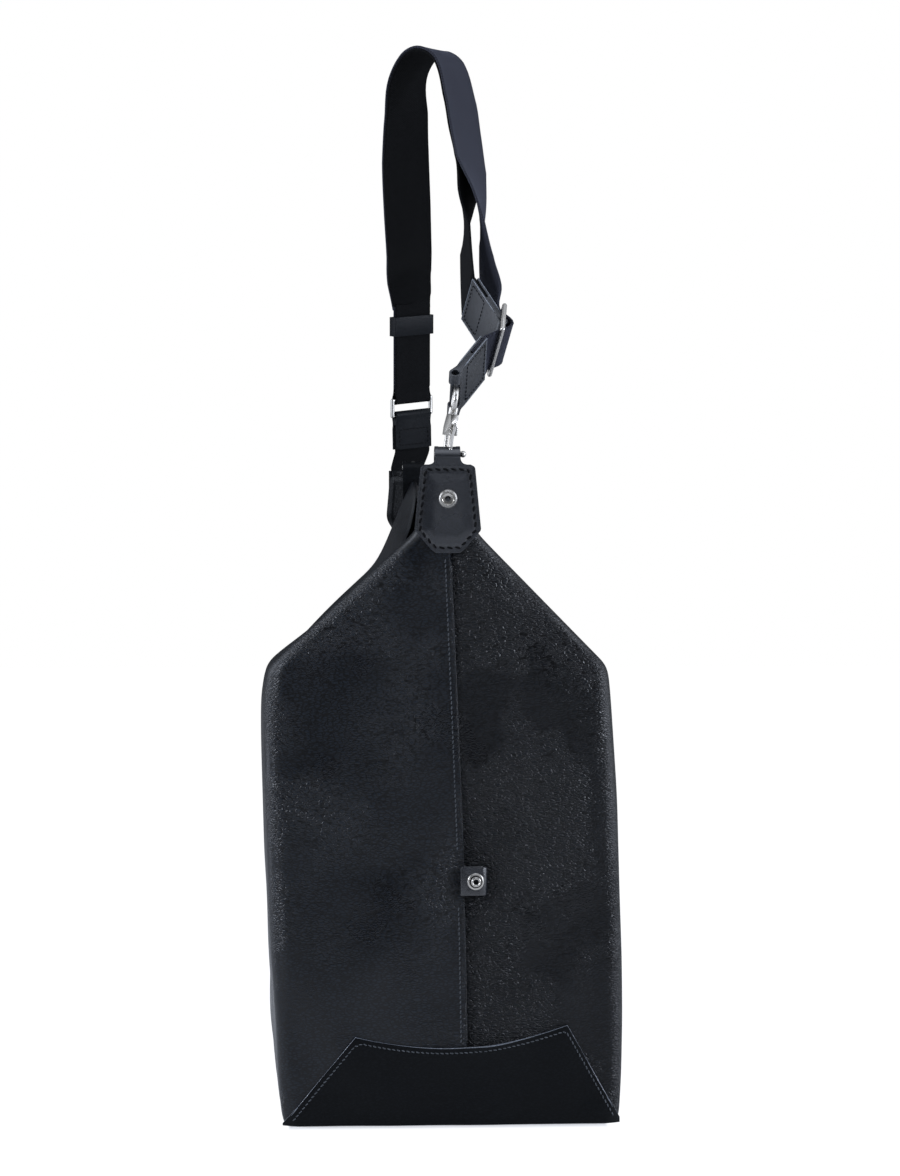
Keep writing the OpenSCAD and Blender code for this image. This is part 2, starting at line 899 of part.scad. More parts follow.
left_body_panel();
right_body_panel();
base_panel();
base_board();
lining();
left_mouth_facing();
right_mouth_facing();
near_end_tab();
far_end_tab();
near_tab_pin();
far_tab_pin();
near_stud_socket();
far_stud_socket();
near_socket_cap();
far_socket_cap();
near_side_loop();
far_side_loop();
near_side_stud();
far_side_stud();
long_webbing();
near_chape();
slider_frame();
slider_tab();
far_ring();
far_ring_tab();
short_webbing();
far_chape();
keeper();
near_hook_eye();
near_hook_body();
near_hook_gate();
near_gate_pin();
near_gate_spring();
far_hook_eye();
far_hook_body();
far_hook_gate();
far_gate_pin();
far_gate_spring();
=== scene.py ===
import math

import bpy
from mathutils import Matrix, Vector, noise


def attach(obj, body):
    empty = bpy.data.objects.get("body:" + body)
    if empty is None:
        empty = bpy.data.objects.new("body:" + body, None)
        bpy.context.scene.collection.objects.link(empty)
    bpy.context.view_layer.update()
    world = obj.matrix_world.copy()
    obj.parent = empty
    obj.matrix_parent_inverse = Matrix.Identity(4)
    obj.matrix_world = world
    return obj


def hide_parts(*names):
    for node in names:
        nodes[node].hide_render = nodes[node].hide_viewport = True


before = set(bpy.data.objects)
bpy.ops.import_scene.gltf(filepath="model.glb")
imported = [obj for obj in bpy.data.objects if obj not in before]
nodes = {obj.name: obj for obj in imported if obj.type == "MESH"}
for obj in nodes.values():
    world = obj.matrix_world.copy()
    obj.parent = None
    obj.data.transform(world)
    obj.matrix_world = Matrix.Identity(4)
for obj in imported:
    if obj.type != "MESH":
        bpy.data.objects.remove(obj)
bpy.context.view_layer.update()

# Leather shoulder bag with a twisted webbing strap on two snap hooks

mm = 0.001


# a value read off a short table of (position, value) pairs
def along(table, at):
    if at <= table[0][0]:
        return table[0][1]
    for (a, va), (b, vb) in zip(table, table[1:]):
        if at <= b:
            t = (at - a) / (b - a)
            return va + (vb - va) * t
    return table[-1][1]


def smooth(a, b, x):
    t = min(1.0, max(0.0, (x - a) / (b - a)))
    return t * t * (3 - 2 * t)


def makeObject(name, verts, faces, body, uvs=None):
    mesh = bpy.data.meshes.new(name)
    mesh.from_pydata([tuple(v) for v in verts], [], faces)
    mesh.update()
    if uvs:
        layer = mesh.uv_layers.new(name="UVMap")
        for loop in mesh.loops:
            layer.data[loop.index].uv = uvs[loop.vertex_index]
    obj = bpy.data.objects.new(name, mesh)
    bpy.context.scene.collection.objects.link(obj)
    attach(obj, body)
    shadeSmooth(obj)
    return obj


def shadeSmooth(obj):
    for poly in obj.data.polygons:
        poly.use_smooth = True


def bevelEdges(obj, width, angle, segments=3):
    bevel = obj.modifiers.new("edge", "BEVEL")
    bevel.width = width * mm
    bevel.segments = segments
    bevel.limit_method = "ANGLE"
    bevel.angle_limit = math.radians(angle)
    return bevel


def applyModifiers(obj):
    graph = bpy.context.evaluated_depsgraph_get()
    mesh = bpy.data.meshes.new_from_object(obj.evaluated_get(graph))
    obj.modifiers.clear()
    old = obj.data
    obj.data = mesh
    bpy.data.meshes.remove(old)


# quads between neighbouring rings of points, and a face over each end
def ringFaces(rings, around, caps=True, flip=False):
    faces = []
    for level in range(rings - 1):
        for k in range(around):
            a, b = level * around + k, level * around + (k + 1) % around
            faces.append((a, a + around, b + around, b) if flip else (a, b, b + around, a + around))
    if caps:
        first, last = range(around), range((rings - 1) * around, rings * around)
        faces.append(tuple(first if flip else reversed(first)))
        faces.append(tuple(reversed(last) if flip else last))
    return faces


# points spaced evenly along the straight runs between corners; twice gives each corner two points
def dotted(corners, steps, twice=False):
    points = []
    for (xa, za), (xb, zb) in zip(corners, corners[1:]):
        for k in range(steps + 1 if twice else steps):
            points.append((xa + (xb - xa) * k / steps, za + (zb - za) * k / steps))
    return points


# looks

def toLinear(hexColour):
    parts = [int(hexColour[i:i + 2], 16) / 255 for i in (1, 3, 5)]
    linear = [c / 12.92 if c <= 0.04045 else ((c + 0.055) / 1.055) ** 2.4 for c in parts]
    return tuple(linear) + (1.0,)


# adds a node, sets its own settings, and fills its inputs with values or with other nodes' outputs
def addNode(tree, kind, inputs=None, **settings):
    made = tree.nodes.new(kind)
    for key, value in settings.items():
        setattr(made, key, value)
    for key, value in (inputs or {}).items():
        socket = made.inputs[key]
        if isinstance(value, bpy.types.NodeSocket):
            tree.links.new(value, socket)
        else:
            socket.default_value = value
    return made


def objectSpace(tree):
    return addNode(tree, "ShaderNodeTexCoord").outputs["Object"]


def maths(tree, operation, *values):
    return addNode(tree, "ShaderNodeMath", dict(enumerate(values)), operation=operation).outputs[0]


# noise with lumps of about the given size in mm
def lumps(tree, place, size, detail, **more):
    inputs = {"Vector": place, "Scale": 1 / (size * mm), "Detail": detail, **more}
    return addNode(tree, "ShaderNodeTexNoise", inputs)


# a wave along one measure, with its length in mm
def ripple(tree, measure, length):
    return maths(tree, "SINE", maths(tree, "MULTIPLY", measure, 2 * math.pi / (length * mm)))


def ranged(tree, value, fromLow, fromHigh, toLow=0.0, toHigh=1.0, shape="LINEAR"):
    inputs = {"Value": value, "From Min": fromLow, "From Max": fromHigh, "To Min": toLow, "To Max": toHigh}
    return addNode(tree, "ShaderNodeMapRange", inputs, interpolation_type=shape).outputs["Result"]


def blend(tree, factor, a, b, kind="RGBA"):
    inputs = {"Factor": factor, "A": a, "B": b}
    return addNode(tree, "ShaderNodeMix", inputs, data_type=kind).outputs["Result"]


# from a look's dark colour to its light one
def twoTone(tree, factor, look):
    return blend(tree, factor, toLinear(look["dark"]), toLinear(look["light"]))


def bumpNode(tree, height, strength, distance, **more):
    inputs = {"Height": height, "Strength": strength, "Distance": distance * mm, **more}
    return addNode(tree, "ShaderNodeBump", inputs).outputs[0]


def startMaterial(name):
    material = bpy.data.materials.new(name)
    material.use_nodes = True
    material.node_tree.nodes.clear()
    return material, material.node_tree


def finishMaterial(tree, shader):
    addNode(tree, "ShaderNodeOutputMaterial", {"Surface": shader.outputs[0]})


def finishSurface(tree, colour, roughness, normal, more):
    inputs = {"Base Color": colour, "Roughness": roughness, "Normal": normal, **more}
    finishMaterial(tree, addNode(tree, "ShaderNodeBsdfPrincipled", inputs))


# how every hide's grain is drawn: pebbles wider than high with rounded edges, creases across them,
# and both deeper where the hide was slack. The bump is a share of the pebble's or crease's size.
hide = {"slackFrom": 0.42, "slackTo": 0.62, "wobbleSize": 2.2, "wobble": 0.9,
        "pebbleScale": (0.8, 1.0, 2.0), "pebbleTurn": (0, 0.3, 0), "pebbleEdge": 0.28,
        "creaseScale": (1.0, 1.0, 1.9), "creaseTurn": (0, 0.35, 0), "bumpShare": 0.25,
        "cloudFrom": 0.3, "cloudTo": 0.7, "glossLow": 0.05, "glossHigh": 0.06}


# chrome-tanned calf leather, drum-dyed and lightly tumbled: a soft satin with fine pebbles that
# grow where the hide was slack, and broad clouds where the dye took unevenly
def leatherMaterial(name, look):
    material, tree = startMaterial(name)
    place = objectSpace(tree)
    clouds = lumps(tree, place, look["clouds"], 3.0, Roughness=0.5).outputs["Fac"]
    slack = lumps(tree, place, look["patches"], 2.0).outputs["Fac"]
    grainHere = ranged(tree, slack, hide["slackFrom"], hide["slackTo"], look["grainLow"], look["grainHigh"])
    wobble = lumps(tree, place, hide["wobbleSize"] * look["grain"], 2.0).outputs["Color"]
    bent = addNode(tree, "ShaderNodeVectorMath", {0: wobble, "Scale": hide["wobble"] * look["grain"] * mm},
                   operation="SCALE")
    moved = addNode(tree, "ShaderNodeVectorMath", {0: place, 1: bent.outputs[0]}, operation="ADD")
    squeezed = addNode(tree, "ShaderNodeMapping", {"Vector": moved.outputs[0], "Scale": hide["pebbleScale"],
                                                   "Rotation": hide["pebbleTurn"]}).outputs[0]
    pebbles = addNode(tree, "ShaderNodeTexVoronoi", {"Vector": squeezed, "Scale": 1 / (look["grain"] * mm)},
                      feature="DISTANCE_TO_EDGE").outputs["Distance"]
    rounded = ranged(tree, pebbles, 0.0, hide["pebbleEdge"], shape="SMOOTHSTEP")
    flattened = addNode(tree, "ShaderNodeMapping", {"Vector": place, "Scale": hide["creaseScale"],
                                                    "Rotation": hide["creaseTurn"]}).outputs[0]
    wrinkles = lumps(tree, flattened, look["creases"], 4.0, Roughness=0.55, Distortion=0.8).outputs["Fac"]
    fine = bumpNode(tree, maths(tree, "MULTIPLY", rounded, grainHere), look["grainBump"],
                    hide["bumpShare"] * look["grain"])
    both = bumpNode(tree, maths(tree, "MULTIPLY", wrinkles, grainHere), look["creaseBump"],
                    hide["bumpShare"] * look["creases"], Normal=fine)
    # the pebbles' edges take a darker colour: painted shade in the grain's valleys
    colour = blend(tree, rounded, toLinear(look["valleyShade"]), twoTone(tree, clouds, look))
    gloss = ranged(tree, clouds, hide["cloudFrom"], hide["cloudTo"],
                   look["roughness"] - hide["glossLow"], look["roughness"] + hide["glossHigh"])
    finishSurface(tree, colour, gloss, both, {"Specular IOR Level": look["specular"], "IOR": 1.5})
    return material


# pebbles are about 1.2 mm on the real hide and creases about 3 mm; drawn at 3 mm and 6 mm so that they show
pebbledLeather = {"light": "#0f141a", "dark": "#080c10", "valleyShade": "#010102", "roughness": 0.3,
                  "specular": 0.36, "clouds": 60, "patches": 70, "grain": 3.0, "grainLow": 0.2,
                  "grainHigh": 1.25, "grainBump": 1.0, "creases": 6.0, "creaseBump": 0.65}
smoothSide = dict(pebbledLeather, light="#181f27", dark="#0f151c", specular=0.42, grainLow=0.08,
                  grainHigh=0.8, grainBump=0.55, creaseBump=0.4)
baseSide = dict(pebbledLeather, light="#101316", dark="#0b0d10", valleyShade="#07090b", grainLow=0.1,
                grainHigh=0.35, grainBump=0.3, creaseBump=0.2, roughness=0.4, specular=0.14)
# the small leathers are skived and pressed: pores of about 0.5 mm, drawn at 1.1 to 1.3 mm
# the tab and side loops are black leather given lighter colours here: painted sheen
tabSide = dict(pebbledLeather, light="#2b3039", dark="#181b21", valleyShade="#0c0e11", grainLow=0.1, grainHigh=0.4,
               grainBump=0.3, grain=1.3, creases=6, creaseBump=0.25, roughness=0.27, specular=1.0)
# a lighter copy of the strap leather for the near chape, slider tab and facings: painted sheen
litStrapSide = dict(pebbledLeather, light="#373c44", dark="#22262c", valleyShade="#15181c", specular=0.7, grain=1.1,
                 grainLow=0.2, grainHigh=0.5, grainBump=0.4, creases=5, creaseBump=0.2, clouds=25)
# light grey edges on dark leather: a painted highlight along the edges
edgeHighlightLook = dict(litStrapSide, light="#9097a1", dark="#6c737d", valleyShade="#565c65", roughness=0.25, specular=0.8)
# a darker copy of the same strap leather for the far chape, ring tab and keeper: painted shade
shadedStrapSide = dict(litStrapSide, light="#0e1013", dark="#0a0c0e", specular=0.08)

tumbledCalf = leatherMaterial("tumbledCalfLeather", pebbledLeather)
smoothCalf = leatherMaterial("smoothCalfLeather", smoothSide)
baseCalf = leatherMaterial("pressedCalfLeather", baseSide)
paintedHighlightEdge = leatherMaterial("edgeLeatherPaintedHighlight", edgeHighlightLook)
tabCalf = leatherMaterial("tabLeatherPaintedSheen", tabSide)
litStrapCalf = leatherMaterial("strapLeatherPaintedSheen", litStrapSide)
shadedStrapCalf = leatherMaterial("strapLeatherPaintedShade", shadedStrapSide)


# nylon webbing, twill woven in flat ribs with a beaded selvedge: a dry cloth sheen, and painted shade
# darkening it between the ribs
def webbingMaterial(name, look):
    material, tree = startMaterial(name)
    uv = addNode(tree, "ShaderNodeUVMap", uv_map="UVMap").outputs["UV"]
    split = addNode(tree, "ShaderNodeSeparateXYZ", {"Vector": uv})
    across, length = split.outputs["X"], split.outputs["Y"]
    ribs = ripple(tree, maths(tree, "ADD", across, length), look["rib"])
    atEdge = maths(tree, "GREATER_THAN", maths(tree, "ABSOLUTE", across), look["selvedgeFrom"] * mm)
    weave = maths(tree, "MULTIPLY_ADD", ripple(tree, length, look["thread"]), look["threadShare"], ribs)
    height = blend(tree, atEdge, weave, ripple(tree, length, look["bead"]), "FLOAT")
    fuzz = lumps(tree, objectSpace(tree), look["fuzz"], 5.0).outputs["Fac"]
    rough = maths(tree, "MULTIPLY_ADD", fuzz, look["fuzzShare"], height)
    colour = blend(tree, ranged(tree, rough, -1.0, 1.8), toLinear(look["between"]), toLinear(look["yarn"]))
    more = {"Specular IOR Level": look["specular"], "Sheen Weight": look["sheen"], "Sheen Roughness": 0.45,
            "Sheen Tint": toLinear(look["sheenTint"])}
    finishSurface(tree, colour, 0.82, bumpNode(tree, rough, 0.55, look["depth"]), more)
    return material


# ribs are about 1.2 mm on the real webbing; drawn at 1.9 mm so that they show
webbingLook = {"yarn": "#2b2d39", "between": "#14151a", "rib": 1.9, "thread": 0.9, "threadShare": 0.35,
               "bead": 2.4, "selvedgeFrom": 17.2, "fuzz": 4, "fuzzShare": 0.8, "depth": 0.18,
               "sheen": 0.25, "sheenTint": "#9aa0b8", "specular": 0.3}
# the inner layer, the fold round the ring and the short piece take a near-black copy of the navy webbing:
# painted shade
shadedWebbingLook = dict(webbingLook, yarn="#0d0e10", between="#060708", sheen=0.0, specular=0.1)
twillWebbing = webbingMaterial("twillNylonWebbing", webbingLook)
shadedWebbing = webbingMaterial("webbingPaintedShade", shadedWebbingLook)


# nickel plate on die-cast zinc, polished: bright and slightly warm, with hairlines from handling
def nickelMaterial(name, look):
    material, tree = startMaterial(name)
    place = objectSpace(tree)
    smudge = lumps(tree, place, 6, 4.0).outputs["Fac"]
    stretched = addNode(tree, "ShaderNodeMapping", {"Vector": place, "Scale": (1.0, 1.0, 0.06)}).outputs[0]
    hairlines = lumps(tree, stretched, 0.5, 2.0).outputs["Fac"]  # real ones are hair-thin; drawn at 0.5 mm
    rough = ranged(tree, smudge, 0.3, 0.7, look["roughness"], look["roughness"] + 0.09)
    bump = bumpNode(tree, hairlines, 0.1, 0.03)
    finishSurface(tree, twoTone(tree, smudge, look), rough, bump, {"Metallic": 1.0})
    return material


plateLook = {"light": "#d6d3cc", "dark": "#bdbab4", "roughness": 0.22}
# a dark copy of the nickel for the studs' groove and hollow: painted shade
hollowShadeLook = {"light": "#2c2d2f", "dark": "#161718", "roughness": 0.4}
springLook = {"light": "#a9abad", "dark": "#8d8f92", "roughness": 0.3}
nickelPlate = nickelMaterial("polishedNickelPlate", plateLook)
nickelShade = nickelMaterial("nickelHollowPaintedShade", hollowShadeLook)
nickelSpring = nickelMaterial("springSteelWire", springLook)


# spun polyester lining, plain woven: matt, with a faint square grid of threads
def clothMaterial(name, look):
    material, tree = startMaterial(name)
    place = objectSpace(tree)
    split = addNode(tree, "ShaderNodeSeparateXYZ", {"Vector": place})
    warp, weft = [ripple(tree, split.outputs[axis], look["thread"]) for axis in "YZ"]
    slubs = lumps(tree, place, 12, 4.0).outputs["Fac"]
    bump = bumpNode(tree, maths(tree, "MULTIPLY", warp, weft), 0.4, 0.12)
    more = {"Specular IOR Level": 0.25, "Sheen Weight": 0.2}
    finishSurface(tree, twoTone(tree, slubs, look), 0.9, bump, more)
    return material


# threads are about 0.4 mm; drawn at 1 mm so that they show, and the board's fibres at 1.4 mm
liningCloth = clothMaterial("wovenLiningCloth", {"light": "#35383e", "dark": "#26292e", "thread": 1.0})
greyBoard = clothMaterial("pressedGreyBoard", {"light": "#4a4238", "dark": "#3a342c", "thread": 1.4})


# bonded nylon thread, twisted and waxed: dark, with the twist's light bands a painted highlight along each
# stitch
def threadMaterial(name, look):
    material, tree = startMaterial(name)
    twist = addNode(tree, "ShaderNodeTexWave", {"Vector": objectSpace(tree), "Scale": 1 / (0.7 * mm),
                                                "Distortion": 2.0}, bands_direction="DIAGONAL").outputs["Fac"]
    bump = bumpNode(tree, twist, 0.3, 0.08)
    finishSurface(tree, twoTone(tree, twist, look), 0.6, bump, {"Specular IOR Level": 0.12})
    return material


# the seam and flap thread is dark grey; its light tone is a painted glint
glintThread = threadMaterial("nylonThreadPaintedGlint", {"light": "#6e7378", "dark": "#26292d"})
waxedThread = threadMaterial("waxedNylonThread", {"light": "#08090b", "dark": "#020203"})

print("materials made")

# the bag's shape, in mm. Each table gives a value at a height, or a height at a distance from the middle.
bag = {
    "halfLength": 230.0,
    "corner": 11.0,
    "leather": 2.6,
    "halfWidth": [(0, 117.5), (6.5, 119.4), (33, 121.6), (75, 123), (117, 124.2), (230, 124.5), (299, 122.8),
                  (316, 121), (326, 117.8)],
    "lean": [(0, 3.2), (33, 2.4), (75, 1.8), (117, 0.1), (159, -1.5), (229, -3.6), (299, -6.4), (325, -6),
             (380, -3), (437, 0)],
    "seam": [(0, 13.5), (55, 12.8), (193, 10), (298, 5.8), (399, 1.6), (462, 0.3)],
    "roof": [(1.5, 461), (8, 447), (13, 434), (20.8, 418), (116, 326)],
    "eaves": 326,
    "ridge": 437,
    "mouthGap": 21.0,
    "mouthHalf": 190.0,
    "farDrop": 17.0,
    "farNarrow": 6.0,
    "mouthSag": 9.0,
    "roofSag": 5.0,
    "lap": 6.0,
    "sink": 1.7,
    "edgeRaise": 0.9,
    "pillow": 6.5,
    "pillowAt": [(0, 0), (40, 0.5), (110, 1), (220, 1), (300, 0.85), (370, 0.4), (402, 0)],
    "sidePillow": 2.0,
    "unevenness": 2.2,
    "unevenLength": 44,
    "sideUnevenness": 1.6,
    "sideUnevenLength": 60,
    "sideEnd": 225,
    "roofTighter": 0.75,
    "raisedWidth": 2.2,
    "sunkWidth": 10.0,
    "underBy": 0.5,
    "loopAt": (19, 172),
    "loopReach": 17,
}

# soft folds in the ends: from, to, half width, height
endFolds = [
    ((12, 190), (38, 216), 9, -4.2),
    ((30, 60), (84, 100), 9, 3.6),
    ((40, 92), (98, 146), 13, -3.2),
    ((30, 222), (84, 250), 15, 2.6),
    ((24, 150), (60, 128), 10, 2.2),
    ((-122, 292), (-112, 232), 6, -2.8),
    ((-118, 84), (-96, 44), 9, -3.4),
    ((-96, 100), (-30, 130), 22, 2.0),
    ((14, 404), (36, 372), 12, 3.4),
    ((-14, 396), (-50, 356), 14, 1.8),
    ((-60, 330), (-20, 300), 24, -2.0),
    ((106, 150), (98, 20), 9, -2.4),
    ((40, 334), (96, 290), 18, 2.2),
    ((-6, 200), (-40, 178), 12, -2.0),
]
wallRows = [1.8, 6.5, 16, 33, 54, 75, 96, 117, 138, 152, 165, 178, 192, 208, 229, 252, 276, 299, 308, 316,
            322]
roofRows = [0.0, 0.03, 0.08, 0.17, 0.28, 0.4, 0.52, 0.64, 0.75, 0.83, 0.9, 0.945, 0.975, 1.0]
capColumns = [0.0, 0.018, 0.045, 0.09, 0.16, 0.25, 0.35, 0.46, 0.58, 0.7, 0.81, 0.91, 1.0]
sideSteps = 34


def outlineAt(z, side):
    if z <= bag["eaves"]:
        return along(bag["lean"], z) + side * along(bag["halfWidth"], z)
    heights = [(h, x) for x, h in reversed(bag["roof"])]
    return along(bag["lean"], z) + side * along(heights, z)


def nearLine(x, z, start, end):
    dx, dz = end[0] - start[0], end[1] - start[1]
    t = ((x - start[0]) * dx + (z - start[1]) * dz) / (dx * dx + dz * dz)
    t = max(0.0, min(1.0, t))
    return math.hypot(x - start[0] - t * dx, z - start[1] - t * dz)


# how far an end's leather stands out from the flat end; end is -1 for the near one. It lies flat
# under the side loop and the end tab.
def endBulge(x, z, end):
    low, high = outlineAt(z, -1), outlineAt(z, 1)
    u = (2 * x - low - high) / max(6.0, high - low)
    fade = max(0.0, 1 - u ** 4)
    height = bag["pillow"] * along(bag["pillowAt"], z) * max(0.0, 1 - u * u)
    length = bag["unevenLength"]
    height += bag["unevenness"] * fade * noise.noise(Vector((x / length, z / length, 3.1 * end)))
    for start, stop, width, rise in endFolds:
        away = nearLine(x * -end, z, start, stop)
        height += rise * fade * math.exp(-(away / width) ** 2)
    (loopX, loopZ), reach = bag["loopAt"], bag["loopReach"]
    loopAt = math.exp(-((x - loopX) / reach) ** 2 - ((z - loopZ) / reach) ** 2)
    tabAt = smooth(396, 410, z) * (1 - smooth(26, 44, abs(x)))
    return height * (1 - 0.96 * loopAt) * (1 - tabAt)


def roofHeight(x, y):
    straight = along([(0, bag["ridge"]), bag["roof"][-1]], x)
    spire = along(bag["roof"], x)
    upTo = smooth(120, 215, abs(y))
    return straight + (spire - straight) * upTo


# the far end of the bag stands less full than the near one, so its shoulders hang lower
def settle(x, y, z):
    w = smooth(-200, 130, y)
    drop = bag["farDrop"] * smooth(190, bag["eaves"], z) * smooth(17, 29, abs(x))
    inward = bag["farNarrow"] * smooth(60, 120, abs(x)) * smooth(20, 120, z)
    return x - math.copysign(w * inward, x), y, z - w * drop


# one level of the skin, from the near end's seam round the side to the far end's seam: at a height on
# the wall, or, where t is given, at a share of the way from the eaves to the mouth
def skinRing(side, z, t, inset):
    middle = bag["halfLength"] - inset
    if t is None:
        edgeX, edgeZ = along(bag["halfWidth"], z), z
    else:
        edgeX = bag["roof"][-1][0] + (bag["roof"][0][0] - bag["roof"][-1][0]) * t
        edgeZ = along(bag["roof"], edgeX)
    lean = along(bag["lean"], edgeZ)
    outer = lean + side * max(0.8, edgeX - inset)
    seam = along(bag["seam"], edgeZ)
    r = min(bag["corner"], 0.4 * abs(outer - seam))
    lap = min(bag["lap"], 0.4 * abs(outer - seam))
    start = seam if side < 0 else seam - lap
    near, far = [], []
    for end, points in ((-1, near), (1, far)):
        seamHere = start if end < 0 else (seam if side > 0 else seam + lap)
        over = side * end > 0
        for f in capColumns:
            x = seamHere + (outer - side * r - seamHere) * f
            fromSeam = abs(x - seam)
            out = endBulge(x, edgeZ, end)
            if over:
                out += bag["edgeRaise"] * math.exp(-fromSeam / bag["raisedWidth"])
            else:
                out -= bag["sink"] * (1 - smooth(1.0, bag["sunkWidth"], fromSeam)) + bag["underBy"]
            points.append(settle(x, end * (middle + out), edgeZ))
        for k in range(1, 4):
            a = math.radians(22.5 * k)
            x, y = outer - side * r * (1 - math.sin(a)), middle - r * (1 - math.cos(a))
            points.append(settle(x, end * y, edgeZ))
    sides = []
    for k in range(sideSteps + 1):
        y = (middle - r) * (2 * k / sideSteps - 1)
        lenAt = 1 - (abs(y) / bag["mouthHalf"]) ** 1.5
        if t is None:
            x, height = edgeX, z
        else:
            gap = max(bag["roof"][0][0], bag["mouthGap"] * lenAt)
            x = bag["roof"][-1][0] + (gap - bag["roof"][-1][0]) * t
            height = roofHeight(x, y)
            height -= bag["mouthSag"] * max(0.0, lenAt) * t ** 1.5
            height -= bag["roofSag"] * max(0.0, 1 - (y / 216) ** 6) * smooth(0.02, 0.3, t)
        full = max(0.0, 1 - (y / bag["sideEnd"]) ** 2)
        swell = bag["sidePillow"] * full * math.sin(math.pi * min(1, height / 400)) ** 0.8
        length = bag["sideUnevenLength"]
        rough = noise.noise(Vector((y / length, height / length, 9.0 + side)))
        swell += bag["sideUnevenness"] * rough * max(0.0, 1 - (y / 222) ** 4)
        reach = 1.0 if t is None else 1 - bag["roofTighter"] * t
        x = along(bag["lean"], height) + side * (max(0.8, x - inset) + swell * reach)
        sides.append(settle(x, y, height + (0.0 if t is None else 0.5 * swell * reach)))
    return near + sides + list(reversed(far))


def gridFaces(rows, columns, flip):
    faces = []
    for k in range(rows - 1):
        for j in range(columns - 1):
            a, b = k * columns + j, k * columns + j + 1
            quad = (a, b, b + columns, a + columns)
            faces.append(tuple(reversed(quad)) if flip else quad)
    return faces


def skinSheet(name, side, inset, rows):
    points = []
    for z, t in rows:
        points += skinRing(side, z, t, inset)
    columns = len(points) // len(rows)
    verts = [Vector(p) * mm for p in points]
    return makeObject(name, verts, gridFaces(len(rows), columns, side < 0), "bag")


def solidify(obj, thickness, offset):
    solid = obj.modifiers.new("thickness", "SOLIDIFY")
    solid.thickness = thickness * mm
    solid.offset = offset
    return solid


def thicken(obj, thickness, levels, edge=0.0):
    sub = obj.modifiers.new("smooth", "SUBSURF")
    sub.levels = sub.render_levels = levels
    solid = solidify(obj, thickness, -1)
    solid.use_even_offset = False
    solid.use_quality_normals = True
    if edge:
        bevelEdges(obj, edge, 50)
    applyModifiers(obj)


def paint(obj, *materials):
    obj.data.materials.clear()
    for material in materials:
        obj.data.materials.append(material)


# the skin's levels, the roof's ones between two shares of the way from the eaves to the mouth
def roofLevels(low, high):
    return [(bag["eaves"], t) for t in roofRows if low <= t <= high]


wallLevels = [(z, None) for z in wallRows]

for side, name, finish in ((-1, "left", smoothCalf), (1, "right", tumbledCalf)):
    panel = skinSheet(name + "Panel", side, 0.0, wallLevels + roofLevels(0, 1))
    thicken(panel, bag["leather"], 2, 0.7)
    paint(panel, finish)
    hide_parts(name + "_body_panel")
print("body panels made")

# the mouth's facings, sewn inside the top of each panel, and the cloth lining below them, in mm
inside = {"facingInset": 3.0, "facingThickness": 1.2, "facingFrom": 0.64, "facingTo": 0.975,
          "liningInset": 4.3, "liningThickness": 0.8, "liningTo": 0.83,
          "liningFloor": ((-110, -225, 1.9), (112, 225, 2.6)), "board": ((-107, -222, 2.7), (109, 222, 5.1))}

for side, name in ((-1, "left"), (1, "right")):
    levels = roofLevels(inside["facingFrom"], inside["facingTo"])
    facing = skinSheet(name + "Facing", side, inside["facingInset"], levels)
    thicken(facing, inside["facingThickness"], 1)
    paint(facing, litStrapCalf)
    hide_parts(name + "_mouth_facing")


def liningHalf(side):
    levels = wallLevels + roofLevels(0, inside["liningTo"])
    half = skinSheet("lining" + str(side), side, inside["liningInset"], levels)
    thicken(half, inside["liningThickness"], 1)
    return half


def joinInto(first, others):
    offset = len(first.data.vertices)
    verts = [v.co.copy() for v in first.data.vertices]
    faces = [tuple(p.vertices) for p in first.data.polygons]
    for other in others:
        faces += [tuple(offset + i for i in p.vertices) for p in other.data.polygons]
        verts += [v.co.copy() for v in other.data.vertices]
        offset = len(verts)
    return verts, faces


def makeBox(name, low, high):
    corners = [(x, y, z) for x in (low[0], high[0]) for y in (low[1], high[1]) for z in (low[2], high[2])]
    faces = [(0, 1, 3, 2), (4, 6, 7, 5), (0, 4, 5, 1), (2, 3, 7, 6), (0, 2, 6, 4), (1, 5, 7, 3)]
    return makeObject(name, [Vector(c) * mm for c in corners], faces, "bag")


def dropObject(obj):
    mesh = obj.data
    bpy.data.objects.remove(obj)
    bpy.data.meshes.remove(mesh)


halves = [liningHalf(-1), liningHalf(1)]
floorPart = makeBox("liningFloorPart", *inside["liningFloor"])
verts, faces = joinInto(halves[0], [halves[1], floorPart])
for part in halves + [floorPart]:
    dropObject(part)
lining = makeObject("clothLining", verts, faces, "bag")
paint(lining, liningCloth)
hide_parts("lining")

baseBoard = makeBox("stiffBaseBoard", *inside["board"])
paint(baseBoard, greyBoard)
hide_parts("base_board")
print("inside made")

# base leather: the bottom, and a flap up each end, whose top dips between its two corners
base = {"thickness": 1.8, "left": (-115, 2), "leftCorner": (-65, 63), "rightCorner": (84, 70),
        "right": (121, 4), "dip": 11.5, "foot": 0.3, "lift": 0.15, "edge": 0.7, "middle": 3,
        "cornerFrom": 118, "cornerIn": 5.0, "bottomHalf": 115.8, "stitchIn": 3.6,
        "bottomRings": ((0.0, -0.7), (0.5, 0.0), (1.8, 0.0), (1.9, -0.6)), "stitchFrom": -111,
        "stitchTo": 117, "steepFrom": -62, "steepTo": 82, "steepIn": 1.55, "stitchFoot": 2.5}


def flapTop(x):
    (left, leftTop), (right, rightTop) = base["leftCorner"], base["rightCorner"]
    if left <= x <= right:
        t = (x - left) / (right - left)
        return leftTop + (rightTop - leftTop) * t - base["dip"] * 4 * t * (1 - t)
    return along([base["left"], base["leftCorner"], base["rightCorner"], base["right"]], x)


def flapPoint(x, z, end, lift):
    return Vector(settle(x, end * (bag["halfLength"] + endBulge(x, z, end) + lift), z)) * mm


